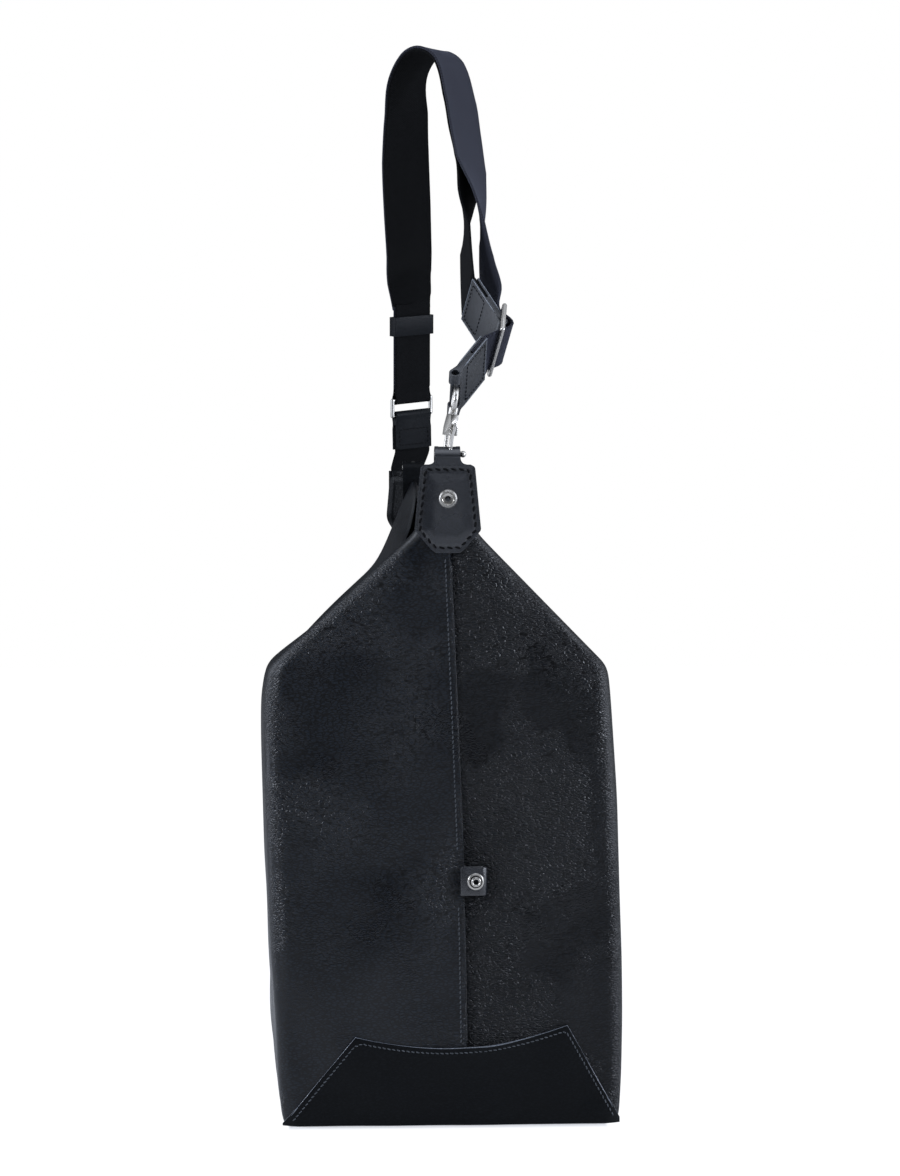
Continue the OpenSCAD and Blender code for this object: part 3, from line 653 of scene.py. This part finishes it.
def flapColumns():
    a, b, c, d = [base[key][0] for key in ("left", "leftCorner", "rightCorner", "right")]
    xs = [a + (b - a) * k / 10 for k in range(10)] + [b + (c - b) * k / 26 for k in range(26)]
    return xs + [c + (d - c) * k / 8 for k in range(9)]


def makeFlap(end):
    verts, rows = [], 9
    xs = flapColumns()
    for k in range(rows):
        for x in xs:
            z = base["foot"] + (flapTop(x) - base["foot"]) * k / (rows - 1)
            u = (x - base["middle"]) / base["cornerFrom"]
            cornerIn = base["cornerIn"] * max(0.0, abs(u) - 0.93) / 0.07
            point = flapPoint(x, z, end, base["lift"])
            point.y -= end * cornerIn * mm
            verts.append(point)
    faces = gridFaces(rows, len(xs), end > 0)
    flap = makeObject("baseFlap" + ("Near" if end < 0 else "Far"), verts, faces, "bag")
    # the flap's rim and bevelled edges take the light edge colour: a painted highlight
    solidify(flap, base["thickness"], 1).material_offset_rim = 1
    bevelEdges(flap, base["edge"], 60).material = 1
    paint(flap, baseCalf, paintedHighlightEdge)
    applyModifiers(flap)
    shadeSmooth(flap)


def bottomSheet():
    verts, outline = [], []
    middle, r = base["middle"], bag["corner"]
    for sx, sy, first in ((1, -1, -90), (1, 1, 0), (-1, 1, 90), (-1, -1, 180)):
        cx = middle + sx * (base["bottomHalf"] - r)
        cy = sy * (bag["halfLength"] - r)
        for k in range(7):
            a = math.radians(first + 15 * k)
            outline.append((cx + r * math.cos(a), cy + r * math.sin(a)))
    for z, grow in base["bottomRings"]:
        for x, y in outline:
            k = 1 + grow / math.hypot(x - middle, y)
            verts.append(Vector((middle + (x - middle) * k, y * k, z)) * mm)
    return makeObject("baseBottom", verts, ringFaces(len(base["bottomRings"]), len(outline)), "bag")


bottom = bottomSheet()
paint(bottom, baseCalf)
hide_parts("base_panel")
for end in (-1, 1):
    makeFlap(end)
print("base made")

# end tabs: a stitched leather patch whose neck folds over the hook's pin. The far one's wings turn back
# over the roof, by farWings degrees at the foot and farEase less above it.
endTab = {"top": 464.0, "foot": 402.0, "widest": 418.0, "halfTop": 19.0, "halfWidest": 23.4, "halfFoot": 9.6,
          "neck": 8.9, "neckTop": 477.0, "thickness": 2.2, "round": 3.2, "fillet": 4.5, "arch": 6.3,
          "farWings": 62.0, "farEase": 37.0, "farFlat": 6.5, "slotColumns": 28, "margin": 3.5, "swell": 1.0,
          "stitchDip": 0.6, "footRound": 1.2, "edge": 0.6, "levels": 44, "steps": 40,
          "neckLevels": (0, 0.6, 1.6, 3, 4.5, 5.5), "backLevels": (462, 452, 440, 432)}


# half width of the patch at a height, with its corners rounded
def tabHalf(z):
    corners = [(endTab["foot"], endTab["halfFoot"]), (endTab["widest"], endTab["halfWidest"]),
               (endTab["top"], endTab["halfTop"])]
    half = along(corners, z)
    r = endTab["round"]
    if z > endTab["top"] - r:
        half -= r - math.sqrt(max(0.0, r * r - (z - endTab["top"] + r) ** 2))
    if z > endTab["top"] - 0.01:
        half = endTab["neck"] + endTab["fillet"]
    if z > endTab["top"]:
        rise = min(1.0, (z - endTab["top"]) / endTab["fillet"])
        half = endTab["neck"] + endTab["fillet"] * (1 - math.sqrt(max(0.0, 1 - (1 - rise) ** 2)))
    if z < endTab["foot"] + 2:
        half -= endTab["footRound"] * (endTab["foot"] + 2 - z) / 2
    return half


def makeTab(end, nodeName):
    top, foot, steps, flat = endTab["top"], endTab["foot"], endTab["steps"], endTab["farFlat"]
    levels = [foot + (top - 0.02 - foot) * k / endTab["levels"] for k in range(endTab["levels"] + 1)]
    levels += [top + rise for rise in endTab["neckLevels"]]
    outside, verts, faces = bag["halfLength"] + endTab["thickness"], [], []
    path = [(z, outside) for z in levels]
    arch = endTab["arch"] + endTab["thickness"]
    archZ = endTab["neckTop"] - arch
    for k in range(1, 13):
        a = math.radians(15 * k)
        path.append((archZ + arch * math.sin(a), outside - arch + arch * math.cos(a)))
    path += [(z, outside - 2 * arch) for z in endTab["backLevels"]]
    for level, (z, out) in enumerate(path):
        patch = level < len(levels)
        half = tabHalf(z) if patch else endTab["neck"]
        for k in range(steps + 1):
            u = 2 * k / steps - 1
            x = half * math.sin(u * math.pi / 2) if patch else half * u
            y = out
            if patch and z < top - 1:
                margin = min(half - abs(x), z - foot, top - z) / endTab["margin"]
                y += endTab["swell"] * smooth(1.1, 4.0, margin) * (0.6 + 0.4 * smooth(440, 420, z))
                y -= endTab["stitchDip"] * math.exp(-((margin - 1) / 0.3) ** 2)
            if end > 0 and patch:
                wing = max(0.0, abs(x) - flat)
                turn = math.radians(endTab["farWings"] - endTab["farEase"] * smooth(420, 434, z))
                x, y = math.copysign(min(abs(x), flat) + wing * math.cos(turn), x), y + wing * math.sin(turn)
            verts.append(Vector((x, end * y, z)) * mm)
    # the hook's slot is cut in the fold, towards the bag at the near end and away from it at the far one
    cut = range(len(levels) + 4, len(path) - 4) if end < 0 else range(len(levels) - 6, len(levels) + 7)
    for index, face in enumerate(gridFaces(len(path), steps + 1, end > 0)):
        inSlot = index // steps in cut and abs(index % steps - (steps - 1) / 2) < endTab["slotColumns"] / 2
        if not inSlot:
            faces.append(face)
    tab = makeObject(nodeName.replace("_end_tab", "") + "EndTab", verts, faces, "bag")
    solidify(tab, endTab["thickness"], -1)
    bevelEdges(tab, endTab["edge"], 50)
    applyModifiers(tab)
    shadeSmooth(tab)
    paint(tab, tabCalf if end < 0 else baseCalf)
    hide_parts(nodeName)


makeTab(-1, "near_end_tab")
makeTab(1, "far_end_tab")
print("end tabs made")

# stitching: each thread is a capsule lying on the leather, given by its share of the length and its girth
capsule = ((0, 0.3), (0.1, 0.8), (0.3, 1.0), (0.7, 1.0), (0.9, 0.8), (1, 0.3))
seamStitch = {"pitch": 3.4, "length": 2.5, "radius": 0.45, "slant": 0.25, "in": 3.6, "lift": 0.32,
              "upper": (186, 401), "lower": (58, 158)}
rim = {"sink": 0.3, "radius": 0.4, "seamFrom": 56, "seamTo": 398, "seamOut": 0.2, "seamLift": 0.25,
       "seamRadius": 0.8}
tabStitch = {"pitch": 5.4, "length": 3.9, "radius": 0.72, "slant": 0.5, "sink": 0.1,
             "corners": [(-15.3, 460.5), (-19.8, 418.5), (-8.6, 405.6), (8.6, 405.6), (19.8, 418.5),
                         (15.3, 460.5)]}


# one mesh of short sunk threads along a path; facing gives the way out of the leather at a point
def stitchRow(name, path, facing, look, body, material=waxedThread):
    verts, faces = [], []
    lengths = [0.0]
    for a, b in zip(path, path[1:]):
        lengths.append(lengths[-1] + (b - a).length)
    total = lengths[-1]
    count = max(1, int(total / (look["pitch"] * mm)))
    pitch = total / count

    def pointAt(s):
        for i in range(len(path) - 1):
            if s <= lengths[i + 1] or i == len(path) - 2:
                span = lengths[i + 1] - lengths[i]
                return path[i].lerp(path[i + 1], (s - lengths[i]) / span if span else 0)

    for k in range(count):
        a = pointAt(pitch * (k + 0.5) - look["length"] * mm / 2)
        b = pointAt(pitch * (k + 0.5) + look["length"] * mm / 2)
        direction = (b - a).normalized()
        out = facing((a + b) / 2)
        side = direction.cross(out).normalized()
        up = side.cross(direction)
        first = len(verts)
        slant = look["slant"] * mm
        for f, girth in capsule:
            middle = a.lerp(b, f) + side * slant * (2 * f - 1)
            r = look["radius"] * mm * girth
            sunk = (1 - girth) * 0.5 * look["radius"] * mm
            for j in range(8):
                angle = 2 * math.pi * j / 8
                verts.append(middle + side * r * math.cos(angle) + up * (r * math.sin(angle) * 0.8 - sunk))
        faces += [tuple(first + i for i in face) for face in ringFaces(len(capsule), 8)]
    paint(makeObject(name, verts, faces, body), material)


# a thin round edge along a path: the edge of a leather, or a piping; a light material on it is a painted
# highlight
def edgeTube(name, path, radius, material, body):
    verts, around = [], 8
    for i, point in enumerate(path):
        direction = (path[min(i + 1, len(path) - 1)] - path[max(i - 1, 0)]).normalized()
        side = direction.cross(Vector((0.31, 0.87, 0.39))).normalized()
        up = side.cross(direction)
        ends = 0.35 if i in (0, len(path) - 1) else 1.0
        for k in range(around):
            a = 2 * math.pi * k / around
            verts.append(point + radius * mm * ends * (math.cos(a) * side + math.sin(a) * up))
    paint(makeObject(name, verts, ringFaces(len(path), around), body), material)


def endFacing(end):
    return lambda point: Vector((0, end, 0))


for end, where in ((-1, "Near"), (1, "Far")):
    sidewards = -1 if end < 0 else 1
    for label in ("Upper", "Lower"):
        path = []
        for z in range(*seamStitch[label.lower()], 4):
            x = along(bag["seam"], z) + sidewards * seamStitch["in"]
            path.append(flapPoint(x, z, end, seamStitch["lift"]))
        stitchRow("seamStitch" + label + where, path, endFacing(end), seamStitch, "bag", glintThread)
    inner = []
    for k in range(111):
        x = base["stitchFrom"] + (base["stitchTo"] - base["stitchFrom"]) * k / 110
        flat = base["steepFrom"] < x < base["steepTo"]
        z = flapTop(x) - base["stitchIn"] * (1.0 if flat else base["steepIn"])
        if z > base["stitchFoot"]:
            inner.append(flapPoint(x, z, end, base["thickness"] + 0.3))
    stitchRow("flapStitch" + where, inner, endFacing(end), seamStitch, "bag", glintThread)
    # a light tube along the flap's top: a painted highlight on its edge
    edge = []
    for x in flapColumns()[1:-1]:
        edge.append(flapPoint(x, flapTop(x) - rim["sink"], end, base["thickness"] - rim["sink"]))
    edgeTube("flapEdge" + where, edge, rim["radius"], paintedHighlightEdge, "bag")
    edge = []
    for z in range(rim["seamFrom"], rim["seamTo"], 5):
        x = along(bag["seam"], z) - rim["seamOut"] * sidewards
        edge.append(flapPoint(x, z, end, rim["seamLift"]))
    edgeTube("seamEdge" + where, edge, rim["seamRadius"], smoothCalf, "bag")
    if end < 0:
        y = end * (bag["halfLength"] + endTab["thickness"] - tabStitch["sink"])
        corners = tabStitch["corners"]
        path = [Vector((x, y, z)) * mm for x, z in dotted(corners + corners[:1], 8)]
        stitchRow("tabStitch" + where, path + [path[0].copy()], endFacing(end), tabStitch, "bag")
print("stitching made")

# strap, in mm and unit vectors; each station of a route is the strap's middle and the way across it
def vec(*p):
    return Vector(p)


def squareTo(v, direction):
    return (v - v.dot(direction) * direction).normalized()


strap = {
    "width": 38.0, "thickness": 1.7, "gap": 0.2,
    "sliderAt": vec(39, -174, 554.5), "sliderAlong": vec(0.11, 0.73, 0.68).normalized(),
    "keeperAt": vec(-0.5, 238, 590), "ringAt": vec(0, 249, 523), "ringLength": 12.8, "wire": 3.4,
    "sliderLength": 30, "chapeLength": 45, "tabLength": 46, "shortLength": 28,
}
sliderAcross = squareTo(vec(-0.16, 0.71, -0.685), strap["sliderAlong"])
tabAlong = squareTo(vec(-17.5, 30, 28), sliderAcross)
chapeAlong = vec(25.6, 33.5, 30.5).normalized()
chapeAcross = squareTo(vec(0, 0.67, -0.74), chapeAlong)
farAcross = vec(0.72, 0.69, 0).normalized()
strandAlong = (strap["ringAt"] - strap["keeperAt"]).normalized()
strandAcross = squareTo(vec(0.78, 0.62, 0.06), strandAlong)
shortAlong = squareTo(vec(-1, 4, -40), strandAcross)
nearFold = vec(5.36, -218.15, 514.55)
farFold = vec(-3.4, 256.7, 440.9)
layer = (strap["thickness"] + strap["gap"]) / 2

sharedRoute = [(vec(*p), vec(*w)) for p, w in (
    ((26, -80, 690), (0.6, 0.78, -0.15)),
    ((23, -64, 717), (0.63, 0.76, -0.1)),
    ((20, -52, 742), (0.63, 0.76, 0)),
    ((13, -40, 771), (0.6, 0.8, 0)),
    ((2, -28, 781), (0.6, 0.8, 0)),
    ((-9, -14, 778), (0.66, 0.75, 0)),
    ((-17, -2, 761), (0.72, 0.69, 0)),
    ((-17, 14, 735), (0.83, 0.55, 0.05)),
    ((-16, 42, 709), (0.88, 0.45, 0.1)),
    ((-11, 108, 672), (0.94, 0.25, 0.2)),
    ((-7, 160, 646), (0.92, 0.3, 0.25)),
    ((-4, 212, 628), (0.86, 0.45, 0.15)))]
for back in (20, 14, 0):
    sharedRoute.append((strap["keeperAt"] - back * strandAlong, strandAcross))
sharedRoute.append(((strap["keeperAt"] + strap["ringAt"]) / 2, strandAcross))
sharedRoute.append((strap["ringAt"] - 16 * strandAlong, strandAcross))


def heading(route, i):
    return (route[min(i + 1, len(route) - 1)][0] - route[max(i - 1, 0)][0]).normalized()


def smoothRoute(route, steps=6):
    out = []
    for i in range(len(route) - 1):
        (a, wa), (b, wb) = route[i], route[i + 1]
        reach = (b - a).length
        for k in range(steps):
            t = k / steps
            point = ((2 * t ** 3 - 3 * t * t + 1) * a + (3 * t * t - 2 * t ** 3) * b
                     + reach * (t ** 3 - 2 * t * t + t) * heading(route, i)
                     + reach * (t ** 3 - t * t) * heading(route, i + 1))
            out.append((point, (1 - t) * wa + t * wb))
    return out + [route[-1]]


# the two layers of the doubled part: side is 1 for the inner one, and shift moves it across the strap
def layerOf(route, side, shift=0.0):
    out = []
    for i, (middle, across) in enumerate(route):
        l = heading(route, i)
        w = squareTo(across, l)
        out.append((middle + side * layer * l.cross(w) + shift * w, across))
    return out


# flat woven ribbon with thicker rounded selvedges; UV is metres across and along
def ribbon(name, route, material):
    half, thickness = strap["width"] / 2, strap["thickness"]
    across = [(-half, 0.12), (-half + 0.25, 0.36), (-half + 0.8, 0.56), (-half + 1.5, 0.5), (-half + 2, 0.44),
              (-half / 2, 0.45), (0, 0.45)]
    across += [(-a, h) for a, h in reversed(across[:-1])]
    section = [(a, h * thickness) for a, h in across] + [(a, -h * thickness) for a, h in reversed(across)]
    points = smoothRoute(route)
    verts, uvs, travelled = [], [], 0.0
    for i, (middle, w0) in enumerate(points):
        if i:
            travelled += (middle - points[i - 1][0]).length
        l = heading(points, i)
        w = squareTo(w0, l)
        n = l.cross(w)
        for a, h in section:
            verts.append((middle + a * w + h * n) * mm)
            uvs.append((a * mm, travelled * mm))
    band = makeObject(name, verts, ringFaces(len(points), len(section), flip=True), "strap", uvs)
    paint(band, material)
    return band


def sliderPoint(y, z):
    return strap["sliderAt"] + y * strap["sliderAlong"].cross(sliderAcross) + z * strap["sliderAlong"]


def heldEnd(at, direction, across, length):
    return [(at + z * direction, across) for z in (length - 18, length, length + 3)]


barClearance = (strap["wire"] + strap["thickness"]) / 2 + 0.9
sliderBar = (strap["sliderLength"] - strap["wire"]) / 2
outerRoute = heldEnd(nearFold, chapeAlong, chapeAcross, strap["chapeLength"]) + [
    (sliderPoint(barClearance + 0.5, -sliderBar), sliderAcross),
    (sliderPoint(-7.4, 0), sliderAcross),
    (sliderPoint(barClearance, sliderBar), sliderAcross),
    (vec(39.5, -146, 583), vec(-0.17, 0.74, -0.65)),
    (vec(35, -128, 607), vec(-0.17, 0.83, -0.53)),
    (vec(32.5, -111, 637), vec(0, 0.93, -0.36)),
    (vec(31, -96, 664), vec(0.32, 0.9, -0.3)),
] + layerOf(sharedRoute, -1)
innerRoute = heldEnd(strap["sliderAt"], tabAlong, sliderAcross, strap["tabLength"]) + [
    (vec(20.5, -109, 632), vec(-0.1, 0.9, -0.4)),
    (vec(21.5, -94, 660), vec(0.32, 0.9, -0.3)),
] + layerOf(sharedRoute, 1, 0.5)
outerBand = ribbon("webbingOuterLayer", outerRoute, twillWebbing)
ribbon("webbingInnerLayer", innerRoute, shadedWebbing)
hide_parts("long_webbing")

ringBar = strap["ringAt"] - strap["ringLength"] / 2 * strandAlong
ringNormal = strandAlong.cross(strandAcross)
foldRadius = strap["wire"] / 2 + strap["thickness"] / 2 + 0.25
foldLegs = ((12, 1.0), (9, 1.0), (5, 1.5), (2, 2.45))  # behind the ring's bar, and off the middle
foldRoute = []
for back, off in foldLegs:
    foldRoute.append((ringBar - back * strandAlong - off * ringNormal, strandAcross))
for k in range(1, 8):
    a = math.radians(-90 + 22.5 * k)
    outwards = math.cos(a) * strandAlong + math.sin(a) * ringNormal
    foldRoute.append((ringBar + foldRadius * outwards, strandAcross))
for back, off in reversed(foldLegs):
    foldRoute.append((ringBar - back * strandAlong + off * ringNormal, strandAcross))
ribbon("webbingFold", foldRoute, shadedWebbing)

shortStart = strap["ringAt"] + strap["ringLength"] / 2 * strandAlong
shortRoute = heldEnd(shortStart, shortAlong, strandAcross, strap["shortLength"])
shortRoute += list(reversed(heldEnd(farFold, vec(0, 0, 1), farAcross, strap["shortLength"])))
shortBand = ribbon("webbingShort", shortRoute, shadedWebbing)
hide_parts("short_webbing")
print("strap made")

# stitched borders and edges of the strap's leathers; the near chape's and slider tab's edges are light, a
# painted highlight, the ring tab's and far chape's dark, painted shade
borderStitch = {"pitch": 3.6, "length": 2.6, "radius": 0.4, "slant": 0.15}
trim = {"leather": 1.6, "stitchIn": 3.2, "stitchEnd": 3, "stitchLift": 0.1, "edgeFrom": 9, "edgeSink": 0.25,
        "edgeRadius": 0.4}


# first is where the stitching starts, beyond the fold round the ring's bar
def trimLeather(name, at, direction, across, length, first, edge):
    half = strap["width"] / 2
    face = strap["thickness"] / 2 + strap["gap"] + trim["leather"]
    wide = squareTo(across, direction)
    normal = direction.cross(wide)

    def point(x, y, z):
        return (at + x * wide + y * normal + z * direction) * mm

    inner, last = half - trim["stitchIn"], length - trim["stitchEnd"]
    border = [(-inner, first), (inner, first), (inner, last), (-inner, last), (-inner, first)]
    rim = [(-half, trim["edgeFrom"]), (-half, length), (half, length), (half, trim["edgeFrom"])]
    for side, where in ((-1, "Front"), (1, "Back")):
        path = [point(x, side * (face + trim["stitchLift"]), z) for x, z in dotted(border, 6)]
        path.append(path[0].copy())
        stitchRow(name + where + "Stitch", path, lambda p, n=side * normal: n, borderStitch, "strap")
        path = [point(x, side * (face - trim["edgeSink"]), z) for x, z in dotted(rim, 8, twice=True)]
        edgeTube(name + where + "Edge", path, trim["edgeRadius"], edge, "strap")


trimLeather("nearChape", nearFold, chapeAlong, chapeAcross, strap["chapeLength"], 14, paintedHighlightEdge)
trimLeather("sliderTab", strap["sliderAt"], tabAlong, sliderAcross, strap["tabLength"], 24, paintedHighlightEdge)
trimLeather("ringTab", shortStart, shortAlong, strandAcross, strap["shortLength"], 12, shadedStrapCalf)
trimLeather("farChape", farFold, vec(0, 0, 1), farAcross, strap["shortLength"], 12, shadedStrapCalf)

# the exact parts keep their shape and take a finish
leatherNodes = ["near_side_loop", "far_side_loop"]
strapNodes = ["near_chape", "slider_tab"]
darkNodes = ["far_chape", "far_ring_tab", "keeper"]
metalWords = ("ring", "slider_frame", "hook_body", "hook_gate", "hook_eye", "pin", "socket", "cap", "stud")
metalNodes = [name for name in nodes if any(word in name for word in metalWords)
              and name not in strapNodes + darkNodes and "spring" not in name]
springNodes = [name for name in nodes if "spring" in name]


def dress(names, material, width):
    for name in names:
        obj = nodes[name]
        paint(obj, material)
        shadeSmooth(obj)
        obj.modifiers.new("weld", "WELD").merge_threshold = 0.002 * mm
        bevelEdges(obj, width, 35).harden_normals = True


dress(leatherNodes, tabCalf, 0.5)
# the near chape and slider tab get the lighter strap leather, painted sheen; the far chape, ring tab and
# keeper the darker one, painted shade
dress(strapNodes, litStrapCalf, 0.35)
dress(darkNodes, shadedStrapCalf, 0.35)
dress(metalNodes, nickelPlate, 0.18)
dress(springNodes, nickelSpring, 0.08)
print("finishes given")

# the side studs: a flange, and a post with a hollow rivet in it. The groove and the hollow, given by
# their two radii and their top, take a dark nickel as painted shade.
stud = {"steps": 40, "height": 172.0, "seamFoot": 15, "seamTop": 395, "fromSeam": 10.5, "standsOut": 10.0,
        "edge": 0.12, "groove": (3.5, 4.3, 1.4), "hollow": (0.0, 1.7, 4.4),
        "profile": [(0, -3.2), (1.8, -3.2), (1.8, 0), (6, 0), (6, 0.7), (5.7, 1.2), (5.1, 1.5), (4.5, 1.5),
                    (4.0, 1.1), (3.65, 1.1), (3.6, 1.5), (3.6, 4.2), (3.45, 4.7), (3.0, 5.0), (2.4, 5.0),
                    (1.9, 4.6), (1.5, 4.1), (1.35, 3.7), (1.35, 2.2), (0, 2.2)]}


def makeStud(end, nodeName):
    seamX = stud["seamFoot"] * (1 - stud["height"] / stud["seamTop"])
    verts = []
    for r, h in stud["profile"]:
        for k in range(stud["steps"]):
            a = 2 * math.pi * k / stud["steps"]
            x = seamX + stud["fromSeam"] + max(r, 0.001) * math.cos(a)
            y = bag["halfLength"] + stud["standsOut"] + h
            verts.append(Vector((x, end * y, stud["height"] + max(r, 0.001) * math.sin(a))) * mm)
    faces = ringFaces(len(stud["profile"]), stud["steps"], caps=False)
    obj = makeObject("sideStud" + ("Near" if end < 0 else "Far"), verts, faces, "bag")
    bevelEdges(obj, stud["edge"], 35, 2)
    applyModifiers(obj)
    shadeSmooth(obj)
    paint(obj, nickelPlate, nickelShade)
    for poly in obj.data.polygons:
        out = abs(poly.center.y) / mm - bag["halfLength"] - stud["standsOut"]
        away = math.hypot(poly.center.x / mm - seamX - stud["fromSeam"], poly.center.z / mm - stud["height"])
        dark = [low < away < high and out < top for low, high, top in (stud["groove"], stud["hollow"])]
        poly.material_index = 1 if any(dark) else 0
    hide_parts(nodeName)


makeStud(-1, "near_side_stud")
makeStud(1, "far_side_stud")

# floor, light and camera, in metres
studio = {"floor": "#f4f4f4", "floorGlow": 1.3, "light": "#e4ebfa", "room": "#e6ebf5", "diffuse": 0.2,
          "glossy": 0.05, "walls": 0.75, "ceiling": 0.35}
contact = {"fade": 0.024, "least": 0.2, "most": 0.75, "halfWidth": 0.11, "steep": 8}


def areaLight(name, at, aim, power, size, sizeY):
    data = bpy.data.lights.new(name, "AREA")
    data.shape = "RECTANGLE"
    data.size, data.size_y = size, sizeY
    data.energy = power
    data.color = toLinear(studio["light"])[:3]
    lamp = bpy.data.objects.new(name, data)
    lamp.location = at
    lamp.rotation_euler = (Vector(aim) - Vector(at)).to_track_quat("-Z", "Y").to_euler()
    bpy.context.scene.collection.objects.link(lamp)


areaLight("leftSoftbox", (-1.5, 0.1, 0.9), (0, -0.1, 0.35), 12, 0.8, 1.8)
areaLight("rightSoftbox", (1.6, -0.2, 0.9), (0, -0.1, 0.35), 12, 0.8, 1.8)
areaLight("topSoftbox", (0.2, -0.7, 2.2), (0, -0.1, 0.4), 9, 1.4, 1.4)
areaLight("leftCrossLight", (-2.0, -1.5, 1.1), (0, -0.2, 0.35), 22, 0.5, 0.5)
areaLight("rightCrossLight", (2.1, -1.3, 1.0), (0, -0.2, 0.3), 22, 0.5, 0.5)
# a white card that metal and polished leather near the top mirror
areaLight("frontCard", (0.25, -2.85, 0.85), (0, -0.2, 0.45), 1.5, 0.7, 0.6)

floorMaterial, tree = startMaterial("whitePaperFloor")
paper = addNode(tree, "ShaderNodeBsdfDiffuse", {"Color": toLinear(studio["floor"])})
white = addNode(tree, "ShaderNodeEmission", {"Color": (1, 1, 1, 1), "Strength": studio["floorGlow"]})
rays = addNode(tree, "ShaderNodeLightPath")
# the paper's own glow fades towards the base's ends, but not beside it: a painted contact shadow, deepened
# where the bag really shades the paper
spot = addNode(tree, "ShaderNodeSeparateXYZ", {"Vector": objectSpace(tree)})
pastEnd = maths(tree, "SUBTRACT", maths(tree, "ABSOLUTE", spot.outputs["Y"]), bag["halfLength"] * mm)
fromSide = maths(tree, "ABSOLUTE", spot.outputs["X"])
pastSide = maths(tree, "MULTIPLY_ADD", fromSide, contact["steep"], -contact["steep"] * contact["halfWidth"])
outside = maths(tree, "MAXIMUM", pastEnd, pastSide)
glow = ranged(tree, outside, 0.0, contact["fade"], contact["least"], contact["most"], "SMOOTHSTEP")
share = maths(tree, "MULTIPLY", rays.outputs["Is Camera Ray"], glow)
mix = addNode(tree, "ShaderNodeMixShader", {"Fac": share, 1: paper.outputs[0], 2: white.outputs[0]})
finishMaterial(tree, mix)
ground = makeObject("paperFloor", [(-6, -3.2, 0), (6, -3.2, 0), (6, 9, 0), (-6, 9, 0)], [(0, 1, 2, 3)], "bag")
paint(ground, floorMaterial)

world = bpy.data.worlds.new("studioWorld")
bpy.context.scene.world = world
world.use_nodes = True
tree = world.node_tree
tree.nodes.clear()
rays = addNode(tree, "ShaderNodeLightPath")
# shiny things see pale walls at the sides and above, and a darker room in front
generated = addNode(tree, "ShaderNodeTexCoord").outputs["Generated"]
looking = addNode(tree, "ShaderNodeSeparateXYZ", {"Vector": generated})
sideways = maths(tree, "ABSOLUTE", looking.outputs["X"])
walls = ranged(tree, sideways, 0.3, 0.85, studio["glossy"], studio["walls"], "SMOOTHSTEP")
ceiling = ranged(tree, looking.outputs["Z"], 0.35, 0.9, 0.0, studio["ceiling"], "SMOOTHSTEP")
room = maths(tree, "ADD", walls, ceiling)
shine = blend(tree, rays.outputs["Is Glossy Ray"], studio["diffuse"], room, "FLOAT")
dim = addNode(tree, "ShaderNodeBackground", {"Color": toLinear(studio["room"]), "Strength": shine})
bright = addNode(tree, "ShaderNodeBackground", {"Color": (1, 1, 1, 1), "Strength": 1.0})
mix = addNode(tree, "ShaderNodeMixShader", {"Fac": rays.outputs["Is Camera Ray"], 1: dim.outputs[0],
                                            2: bright.outputs[0]})
addNode(tree, "ShaderNodeOutputWorld", {"Surface": mix.outputs[0]})

view = {"lens": 142.84, "sensor": 36, "reach": 30, "at": (-0.158, -2.730, 0.409), "down": 0.722,
        "right": 3.653}
cameraData = bpy.data.cameras.new("camera")
cameraData.lens = view["lens"]
cameraData.sensor_width = view["sensor"]
cameraData.sensor_fit = "HORIZONTAL"
cameraData.clip_end = view["reach"]
camera = bpy.data.objects.new("camera", cameraData)
camera.location = view["at"]
camera.rotation_euler = (math.radians(90 - view["down"]), 0, math.radians(-view["right"]))
bpy.context.scene.collection.objects.link(camera)
bpy.context.scene.camera = camera
bpy.context.scene.view_settings.view_transform = "Standard"
